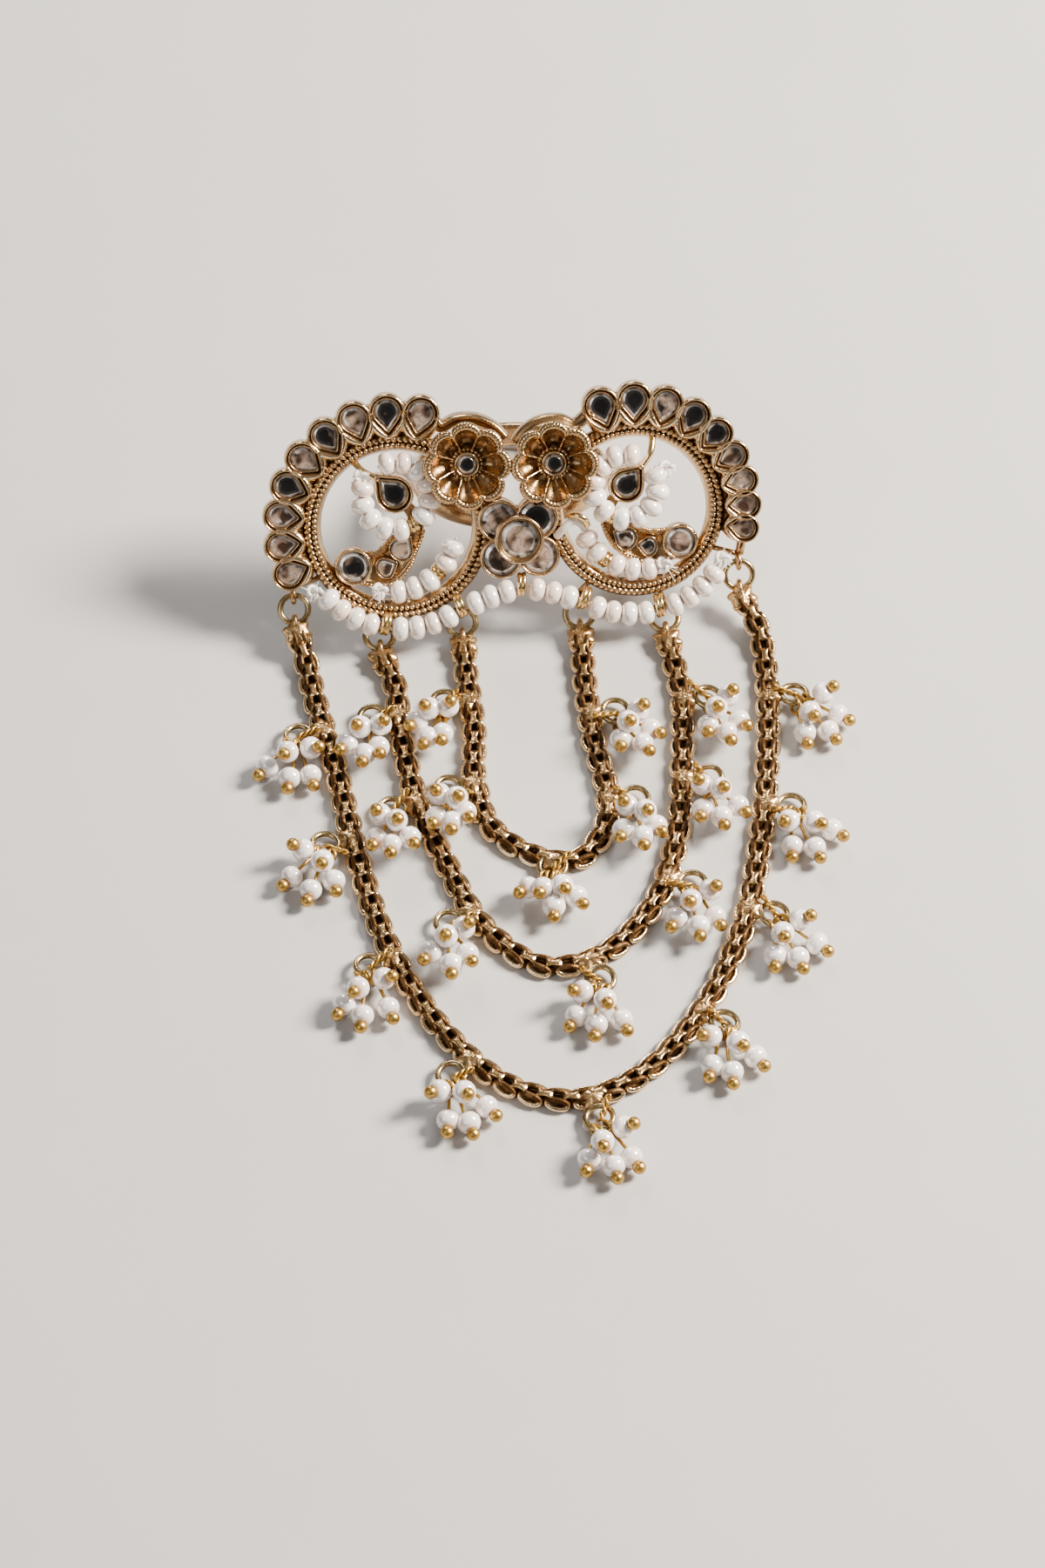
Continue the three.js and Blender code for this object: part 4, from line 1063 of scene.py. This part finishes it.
def eye_spot(half, chain):
    """The middle of the eye that a chain hangs on, in the head's plane."""
    angle, radius, rise, _ = CHAIN_EYES[chain]
    reach = radius + (0 if chain == "outer" else half["sag"])
    return spot(half, reach * np.sin(np.radians(angle)), reach * np.cos(np.radians(angle)), rise)


sideways = unit(on_head(np.array([1.0, 0, 0])) - on_head(np.zeros(3)))
forwards = np.cross(sideways, UPWARDS)
eye_parts = []
chain_ends = {}
for chain, (angle, _, rise, end_height) in CHAIN_EYES.items():
    chain_ends[chain] = []
    for half in HALVES:
        centre = eye_spot(half, chain)
        top = on_head(centre)
        foot = FOOT_REACH * np.array([np.sin(np.radians(angle)), np.cos(np.radians(angle))])
        stem = np.linspace(spot(half, *foot, rise), centre + [0, EYE_RADIUS, 0], 4)
        eye_parts.append(cast(swept(stem, round_section(EYE_WIRE, 8)), 0.3))
        if chain == "outer":
            last_cup = np.append(rim_places(half)[0][-1], rise)
            brace = np.linspace(last_cup, centre + unit(last_cup - centre) * EYE_RADIUS, 4)
            eye_parts.append(cast(swept(brace, round_section(BRACE_WIRE, 8)), 0.15))
        eye = wire_rings(top, sideways, EYE_RADIUS, EYE_WIRE, 20)
        eye_parts.append(patch(eye, (True, True), tone=0.25))
        fall = np.arcsin((top[2] - end_height) / (2 * END_RING_RADIUS))
        hang = forwards * np.cos(fall) - UPWARDS * np.sin(fall)
        middle = top + hang * END_RING_RADIUS
        ring = wire_rings(middle, np.cross(sideways, hang), END_RING_RADIUS, END_RING_WIRE)
        name = f"end_ring_{chain}_{half['name']}"
        end_ring = made(name + "_wire", [patch(ring, (True, True), tone=0.15)], ring_wire)
        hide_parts(name)
        chain_ends[chain].append(top + hang * 2 * END_RING_RADIUS)
hanging_eyes = made("hanging_eyes", eye_parts, antique_gold)
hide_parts("ring_frame")

# Chains
# Flat double chains in dark antique gold: a row of oval wire links down each side, joined by
# small butterfly plates above and below, with a soldered cap at each end and at each jump ring.
LYING = 0.7
ROUTES = {
    "outer": [
        (-20.9, 14.4, 1.2), (-19.8, 9.6, LYING), (-17.5, 0.9, LYING), (-15.4, -8.6, LYING),
        (-12.3, -18.7, LYING), (-7.2, -27.9, LYING), (-1.4, -33.6, LYING), (4.6, -35.2, LYING),
        (10.6, -32.6, LYING), (16.2, -25.8, LYING), (20.1, -17, LYING), (22.4, -5, LYING),
        (23.3, 6, LYING), (23.3, 13.6, LYING), (22.7, 17.6, 1.5),
    ],
    "middle": [
        (-12.2, 11.2, LYING), (-11.7, 6.8, LYING), (-10.1, -1.6, LYING), (-7.1, -9.5, LYING),
        (-3.4, -16.8, LYING), (2, -20.9, LYING), (7.6, -19.4, LYING), (12.3, -13.6, LYING),
        (14.4, -6.4, LYING), (15.1, 2.8, LYING), (15.2, 9.5, LYING), (14.6, 13.6, LYING),
    ],
    "inner": [
        (-5.3, 11.8, LYING), (-4.6, 6, LYING), (-4.5, 0, LYING), (-2.9, -5.4, LYING),
        (1.2, -8.6, LYING), (5.2, -9, LYING), (7.8, -5, LYING), (7.9, -1, LYING),
        (6.7, 5, LYING), (6, 11.2, LYING),
    ],
}
LINK_PITCH, LINK_HALF_LENGTH, LINK_HALF_HEIGHT, LINK_WIRE, LINK_BOW = 2.4, 0.99, 0.42, 0.28, 0.14
LINK_OFFSET, LINK_ROLL, LINK_PITCHED, LINK_YAW, LINK_SQUARE = 0.63, 38.0, 4.0, 5.0, 0.9
BUTTERFLY_LENGTH, BUTTERFLY_WAIST, BUTTERFLY_FLARE, BUTTERFLY_THICK = 0.55, 0.27, 0.38, 0.27
BUTTERFLY_HORN, BUTTERFLY_RISE, BUTTERFLY_CORNERS = 0.75, 0.54, 0.04
CHAIN_BRIGHT = (0.74, 0.47, 0.21, 1.0)
CHAIN_RECESS = (0.06, 0.027, 0.009, 1.0)
JUMP_RADIUS, JUMP_WIRE, JUMP_OFFSET, JUMP_RISE = 1.25, 0.29, 2.5, 0.86
DROPS = {
    # share along the chain, heading, spread, lift, jump ring's distance from the chain
    "outer": [
        (0.093, -99, 1, 0, JUMP_OFFSET), (0.196, -106, 1, 0, JUMP_OFFSET),
        (0.306, -92, 1, 0, JUMP_OFFSET), (0.41, -74, 1, 0, JUMP_OFFSET),
        (0.505, -77, 1, 0, JUMP_OFFSET), (0.614, -84, 1, 0, JUMP_OFFSET),
        (0.71, -66, 1, 0, JUMP_OFFSET), (0.806, -68, 1, 0, JUMP_OFFSET),
        (0.908, -54, 1, 0, JUMP_OFFSET),
    ],
    "middle": [
        (0.09, -98, 0.8, 1.3, JUMP_OFFSET), (0.212, -91, 0.8, 1.3, JUMP_OFFSET),
        (0.37, -88, 0.8, 1, JUMP_OFFSET), (0.525, -96, 1, 0, JUMP_OFFSET),
        (0.665, -84, 0.9, 0.6, JUMP_OFFSET), (0.8, -80, 0.9, 1, JUMP_OFFSET),
        (0.91, -72, 0.8, 1.2, JUMP_OFFSET),
    ],
    "inner": [
        (0.12, -106, 0.7, 1.4, JUMP_OFFSET), (0.29, -86, 0.7, 1.4, JUMP_OFFSET),
        (0.495, -92, 0.95, 0.5, 0.9), (0.66, -84, 0.8, 1.2, JUMP_OFFSET),
        (0.835, -62, 0.8, 1.2, JUMP_OFFSET),
    ],
}
SHADE_STRIP_SECTION = np.array([
    # across, up
    [-0.85, -0.22], [-0.5, 0.0], [0.5, 0.0], [0.85, -0.22], [0.8, -0.36], [-0.8, -0.36],
])
CAP_PROFILE = np.array([
    # radius, rise
    [0.05, 0.62], [0.5, 0.55], [0.85, 0.4], [1.0, 0.2], [1.02, -0.2], [0.95, -0.4], [0.6, -0.5],
    [0.05, -0.5],
])
CAP_POINTS, CAP_WAVE, CAP_LUMPS = 6, 0.16, 0.08
SHADE_STRIP_END, END_CAP, END_CAP_AT = 0.3, 1.3, 0.55
SOLDER_CAP, SOLDER_STRETCH, SOLDER_SHIFT = 0.95, [1.25, 1.1, 0.9], [0, 0.25, 0.12]
JUMP_LEAN = 0.2

chain_gold = plated("dark antique gold", CHAIN_BRIGHT, CHAIN_RECESS, 1.4, 0.12)


def chain_line(chain):
    """A chain's line from end eye to end eye, never lower than its own half height."""
    first, last = (end + forwards * EYE_STEM for end in chain_ends[chain])
    points = [first, *(np.array(point) - OUTLINE_MIDDLE for point in ROUTES[chain]), last]
    line = smooth_line(points, 1200)
    line[:, 2] = np.maximum(line[:, 2], LYING)
    return line


def along_chain(places, ways, local):
    """Local points, along, across and up, set at each place of a chain with its flat side level."""
    across = np.cross(ways, UPWARDS)
    across /= np.linalg.norm(across, axis=-1, keepdims=True)
    above = np.cross(across, ways)
    lead = (slice(None),) + (None,) * (local.ndim - 1)
    return (
        places[lead]
        + local[..., :1] * ways[lead]
        + local[..., 1:2] * across[lead]
        + local[..., 2:] * above[lead]
    )


def oval_link(side):
    """One side link: an oval of wire standing along the chain, bowed and rolled outward, and turned so
    that its two ends pass beside those of its neighbours."""
    t = np.linspace(0, 2 * np.pi, 14, endpoint=False)
    oval = np.stack([
        LINK_HALF_LENGTH * np.sign(np.cos(t)) * np.abs(np.cos(t)) ** LINK_SQUARE,
        side * LINK_BOW * np.sin(t) ** 2,
        LINK_HALF_HEIGHT * np.sign(np.sin(t)) * np.abs(np.sin(t)) ** LINK_SQUARE,
    ], -1)
    points = swept(oval, round_section(LINK_WIRE, 6), up=(0, 1, 0), closed=True)
    points = turned(turned(turned(points, 0, side * LINK_ROLL), 1, LINK_PITCHED), 2, side * LINK_YAW)
    # Painted shade: the upper, inner wire of each link, which lies under the plates, is dark.
    shade = np.where(np.sin(t) > 0.3, 0.95, 0.02)
    return points + [0, side * LINK_OFFSET, 0], np.tile(shade[:, None], (1, 6))


def butterfly(face):
    """One plate, narrow in the middle and wide at both ends, its corners drawn out to horns: the half
    width grows with the square of the way along, the length with the cube of the way across."""
    ring = np.linspace(0, 2 * np.pi, 12, endpoint=False)
    across = np.cos(ring)
    u = np.linspace(-1, 1, 7)[:, None]
    half_width = BUTTERFLY_WAIST + BUTTERFLY_FLARE * u**2
    y = half_width * across
    level = BUTTERFLY_RISE + BUTTERFLY_CORNERS * (u * across) ** 2 + BUTTERFLY_THICK / 2 * np.sin(ring)
    x = BUTTERFLY_LENGTH * u * (1 + BUTTERFLY_HORN * np.abs(across) ** 3)
    points = np.stack([x, y, face * level], -1)
    # Painted shade: each plate's face towards the other plate is dark, and its middle a little darker
    # than its ends.
    shade = 0.2 - 0.12 * u**2 + np.where(np.sin(ring) < -0.2, 0.7, 0.0)
    return points, shade


def cap_star(size):
    """A soldered cap: a lumpy disc whose edge swings out in six points, domed in the middle."""
    angle = np.linspace(0, 2 * np.pi, 36, endpoint=False)
    out, level = CAP_PROFILE[:, :1], CAP_PROFILE[:, 1:]
    edge_wave = 1 + CAP_WAVE * np.cos(CAP_POINTS * angle) * np.minimum(out, 1) ** 2
    lumps = CAP_LUMPS * np.sin(5 * angle + 3 * out) * out
    reach = size * out * edge_wave
    return np.stack([reach * np.cos(angle), reach * np.sin(angle), level + lumps], -1)


def drop_place(line, share, aim, offset):
    """A jump ring's middle beside its chain, the directions ahead of and across its bunch, and the
    point of the chain that carries it."""
    at, way = walked(line, share * line_length(line))
    centre = at + unit(np.cross(way, UPWARDS)) * offset
    centre[2] = JUMP_RISE
    ahead = np.array([np.cos(np.radians(aim)), np.sin(np.radians(aim)), 0.0])
    return centre, ahead, np.cross(UPWARDS, ahead), at


chain_lines = {}
for chain in ROUTES:
    line = chain_line(chain)
    chain_lines[chain] = line
    length = line_length(line)
    units = int(round(length / LINK_PITCH))
    places, ways = walked(line, (np.arange(units) + 0.5) * length / units)
    parts = []
    for side in (-1, 1):
        link, shade = oval_link(side)
        parts.append(patch(along_chain(places, ways, link[None]), (True, True), tone=shade))
    joints, joint_ways = walked(line, np.arange(1, units) * length / units)
    for face in (1, -1):
        plate, shade = butterfly(face)
        parts.append(patch(along_chain(joints, joint_ways, plate[None]), capped=True, tone=shade))
    # Painted shade: a dark strip along the chain's middle fills the gaps between links and plates with
    # shade.
    shade_strip, _ = walked(line, np.linspace(SHADE_STRIP_END, length - SHADE_STRIP_END, units * 3))
    parts.append(patch(swept(shade_strip, SHADE_STRIP_SECTION), capped=True, tone=1.0))
    ends, end_ways = walked(line, np.array([END_CAP_AT, length - END_CAP_AT]))
    parts.append(patch(along_chain(ends, end_ways, cap_star(END_CAP)[None]), capped=True, tone=0.2))
    eye_axes = np.tile(sideways, (2, 1))
    end_eyes = wire_rings(np.array(chain_ends[chain]), eye_axes, EYE_RADIUS, EYE_WIRE, 20)
    parts.append(patch(end_eyes, (True, True), tone=0.3))
    solder, solder_ways = walked(line, np.array([drop[0] for drop in DROPS[chain]]) * length)
    lump = cap_star(SOLDER_CAP) * SOLDER_STRETCH + SOLDER_SHIFT
    parts.append(patch(along_chain(solder, solder_ways, lump[None]), capped=True, tone=0.3))
    links = made(f"chain_{chain}_links", parts, chain_gold)
    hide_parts(f"chain_{chain}")
    drops = DROPS[chain]
    centres = np.array([drop_place(line, share, aim, offset)[0] for share, aim, _, _, offset in drops])
    lean = UPWARDS + chance.uniform(-JUMP_LEAN, JUMP_LEAN, centres.shape) * [1, 1, 0]
    jump_rings = wire_rings(centres, lean, JUMP_RADIUS, JUMP_WIRE, 24)
    rings = made(f"jump_rings_{chain}", [patch(jump_rings, (True, True), tone=0.2)], ring_wire)
    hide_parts(f"chain_{chain}")

# Bead bunches
# Five beads on bright head pins with ball ends hang together on each jump ring. Every pin ends in
# a small loop, and a twisted tail of wire reaches back over the chain.
BUNCH = np.array([
    # ahead, across, height
    [2.2, 1.5, 1.95], [3.1, -0.6, 2.2], [4.2, -2.1, 1.05], [5.3, -0.1, 1.05], [4.5, 1.85, 1.05],
])
FANNED_BUNCH = np.array([
    [3.2, -2.3, 1.05], [3.3, -0.9, 1.7], [3.2, 1.1, 1.75], [3.7, 2.4, 1.05], [4.9, 0.2, 1.05],
])
FANNED = [("inner", 2)]
BUNCH_LOWEST, BUNCH_WANDER = 1.05, [0.22, 0.22, 0.088]
BUNCH_BEAD_RADIUS, BUNCH_BEAD_LENGTH, BUNCH_BEAD_UP = 1.08, 1.75, (0.31, 0.23, 0.92)
PIN_WIRE, PIN_BALL, PIN_LOOP, PIN_FAN, PIN_BOW = 0.17, 0.62, 0.62, 0.38, 0.25
PIN_START, BALL_SEAT, LOOP_LEAN, LOOP_SHIFT = 0.372, 1.3214, 0.6, 0.1
TAIL_WIRE, TAIL_STRAND, TAIL_TURNS, TAIL_SWING = 0.16, 0.17, 1.7, 0.9
TAIL_RISE, TAIL_LENGTH, TAIL_AHEAD, TAIL_ABOVE = (0.1, 0.45), (2.0, 2.7), 0.5, 0.3
PIN_BRIGHT = (0.55, 0.34, 0.085, 1.0)
PIN_RECESS = (0.26, 0.14, 0.03, 1.0)
BUNCH_WHITE = (0.97, 0.91, 0.88, 1.0)
BUNCH_SHADE = (0.93, 0.81, 0.77, 1.0)

pin_gold = plated("bright pin gold", PIN_BRIGHT, PIN_RECESS, 1.5, 0.24)
white_coating = beaded("white pearl coating", BUNCH_SHADE, BUNCH_WHITE)


def twisted_tail(start, end):
    """Two strands wound round a straight line between two points, half a turn apart."""
    t = np.linspace(0, 1, 30)[:, None]
    way = unit(end - start)
    across = unit(np.cross(way, UPWARDS))
    above = np.cross(across, way)
    swing = 2 * np.pi * TAIL_TURNS * t + np.array([0, np.pi])[:, None, None]
    return start + (end - start) * t + TAIL_STRAND * (np.cos(swing) * across + np.sin(swing) * above)


for chain, drops in DROPS.items():
    bead_parts = []
    pin_parts = []
    for number, (share, aim, spread, lift, offset) in enumerate(drops):
        centre, ahead, across, at = drop_place(chain_lines[chain], share, aim, offset)
        beads = FANNED_BUNCH if (chain, number) in FANNED else BUNCH
        wander = chance.uniform(-1, 1, beads.shape) * BUNCH_WANDER
        sideways_out = across * beads[:, 1:2] * spread * (-1 if number % 2 else 1)
        middles = centre + ahead * (beads[:, :1] + wander[:, :1]) + sideways_out + across * wander[:, 1:2]
        middles[:, 2] = np.maximum(beads[:, 2] + lift + wander[:, 2], BUNCH_LOWEST)
        hold = centre + ahead * JUMP_RADIUS + sideways_out * PIN_FAN
        start = hold + ahead * PIN_START
        ways = middles - start
        ways /= np.linalg.norm(ways, axis=-1, keepdims=True)
        tints = chance.uniform(0, 1, len(beads))
        size = (BUNCH_BEAD_RADIUS, BUNCH_BEAD_LENGTH)
        points, hole_and_end_shade, tint = threaded(middles, ways, *size, BUNCH_BEAD_UP, tints)
        bead_parts.append(patch(points, (True, True), tone=hole_and_end_shade, tint=tint))
        tips = middles + ways * BALL_SEAT
        tips[:, 2] = np.maximum(tips[:, 2], PIN_BALL)
        pin_parts.append(patch(balls(tips, PIN_BALL), capped=True, tone=0.15))
        t = np.linspace(0, 1, 10)[None, :, None]
        bow = np.sin(np.pi * t) * chance.uniform(-PIN_BOW, PIN_BOW, (len(beads), 1, 1))
        wires = start[:, None] + (tips - start)[:, None] * t + np.cross(ways, UPWARDS)[:, None] * bow
        pin_parts.append(patch(swept(wires, round_section(PIN_WIRE, 6)), capped=True, tone=0.15))
        loop_axes = across + chance.uniform(-LOOP_LEAN, LOOP_LEAN, beads.shape)
        loop_centres = hold + chance.uniform(-LOOP_SHIFT, LOOP_SHIFT, beads.shape)
        loop_centres[:, 2] = np.maximum(loop_centres[:, 2], PIN_LOOP + PIN_WIRE)
        pin_loops = wire_rings(loop_centres, loop_axes, PIN_LOOP, PIN_WIRE, 16, 6)
        pin_parts.append(patch(pin_loops, (True, True), tone=0.15))
        swing = np.degrees(chance.uniform(-TAIL_SWING, TAIL_SWING))
        tail_way = unit(turned(unit(at - centre), 2, swing) * [1, 1, 0])
        tail_way = tail_way + UPWARDS * chance.uniform(*TAIL_RISE)
        tail_start = centre + ahead * TAIL_AHEAD + UPWARDS * TAIL_ABOVE
        tail = twisted_tail(tail_start, tail_start + tail_way * chance.uniform(*TAIL_LENGTH))
        pin_parts.append(patch(swept(tail, round_section(TAIL_WIRE, 6)), capped=True, tone=0.2))
    nodes = [f"drop_{chain}_{number}" for number in range(1, len(drops) + 1)]
    bunch_beads = made(f"bunch_beads_{chain}", bead_parts, white_coating)
    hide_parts(*nodes)
    head_pins = made(f"head_pins_{chain}", pin_parts, pin_gold)
    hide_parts(*nodes)

# Floor, light and camera
# A plain pale floor, a soft key light from the right, a weak fill from the left front and a back
# light under a sky that brightens overhead, and the camera at the photograph's angle.
FLOOR_PALE, FLOOR_PALER = (0.49, 0.475, 0.46, 1.0), (0.52, 0.505, 0.49, 1.0)
FLOOR_CORNERS, MOTTLE_SCALE = [(-3, -3, 0), (3, -3, 0), (3, 3, 0), (-3, 3, 0)], 60.0
LAMPS = [
    # name, place, size, power, colour
    ("key", (0.42, 0.10, 0.36), 0.17, 15.5, (1.0, 0.92, 0.82)),
    ("fill", (-0.35, -0.35, 0.40), 0.35, 1.0, (0.92, 0.95, 1.0)),
    ("back", (-0.10, 0.50, 0.35), 0.16, 2.2, (1.0, 0.97, 0.94)),
]
SKY_LOW, SKY_HIGH, SKY_STRENGTH = (0.06, 0.055, 0.05, 1.0), (1.0, 0.97, 0.93, 1.0), 0.27
SKY_FROM, SKY_TO = 0.15, 0.85
CAMERA_AT = (-0.003335, -0.23997, 0.3317)
CAMERA_TILT, CAMERA_LENS, CAMERA_SENSOR = 36.0, 100.0, 36.0

floor_paint, tree, shader = new_finish("pale floor")
mottle = speckle(tree, MOTTLE_SCALE, 2.0)
joined(tree, shader, {"Roughness": 0.9, "Base Color": mixed(tree, mottle, FLOOR_PALE, FLOOR_PALER)})
floor_mesh = bpy.data.meshes.new("floor")
floor_mesh.from_pydata(FLOOR_CORNERS, [], [(0, 1, 2, 3)])
floor_mesh.materials.append(floor_paint)
floor = bpy.data.objects.new("floor", floor_mesh)
bpy.context.scene.collection.objects.link(floor)

for name, place, size, power, colour in LAMPS:
    lamp = bpy.data.lights.new(name, "AREA")
    lamp.size, lamp.energy, lamp.color = size, power, colour
    stand = bpy.data.objects.new(name, lamp)
    stand.location = place
    aim = -stand.location
    stand.rotation_euler = aim.to_track_quat("-Z", "Y").to_euler()
    bpy.context.scene.collection.objects.link(stand)

world = bpy.data.worlds.new("studio")
world.use_nodes = True
tree = world.node_tree
sky = wired(tree, "ShaderNodeTexCoord", {}).outputs["Generated"]
height = wired(tree, "ShaderNodeSeparateXYZ", {"Vector": sky}).outputs["Z"]
overhead = {"Value": height, "From Min": SKY_FROM, "From Max": SKY_TO}
ceiling = wired(tree, "ShaderNodeMapRange", overhead).outputs["Result"]
backdrop = tree.nodes["Background"]
joined(tree, backdrop, {"Color": mixed(tree, ceiling, SKY_LOW, SKY_HIGH), "Strength": SKY_STRENGTH})
bpy.context.scene.world = world

lens = bpy.data.cameras.new("camera")
lens.lens, lens.sensor_width = CAMERA_LENS, CAMERA_SENSOR
camera = bpy.data.objects.new("camera", lens)
camera.location = CAMERA_AT
camera.rotation_euler = (np.radians(CAMERA_TILT), 0, 0)
bpy.context.scene.collection.objects.link(camera)
bpy.context.scene.camera = camera
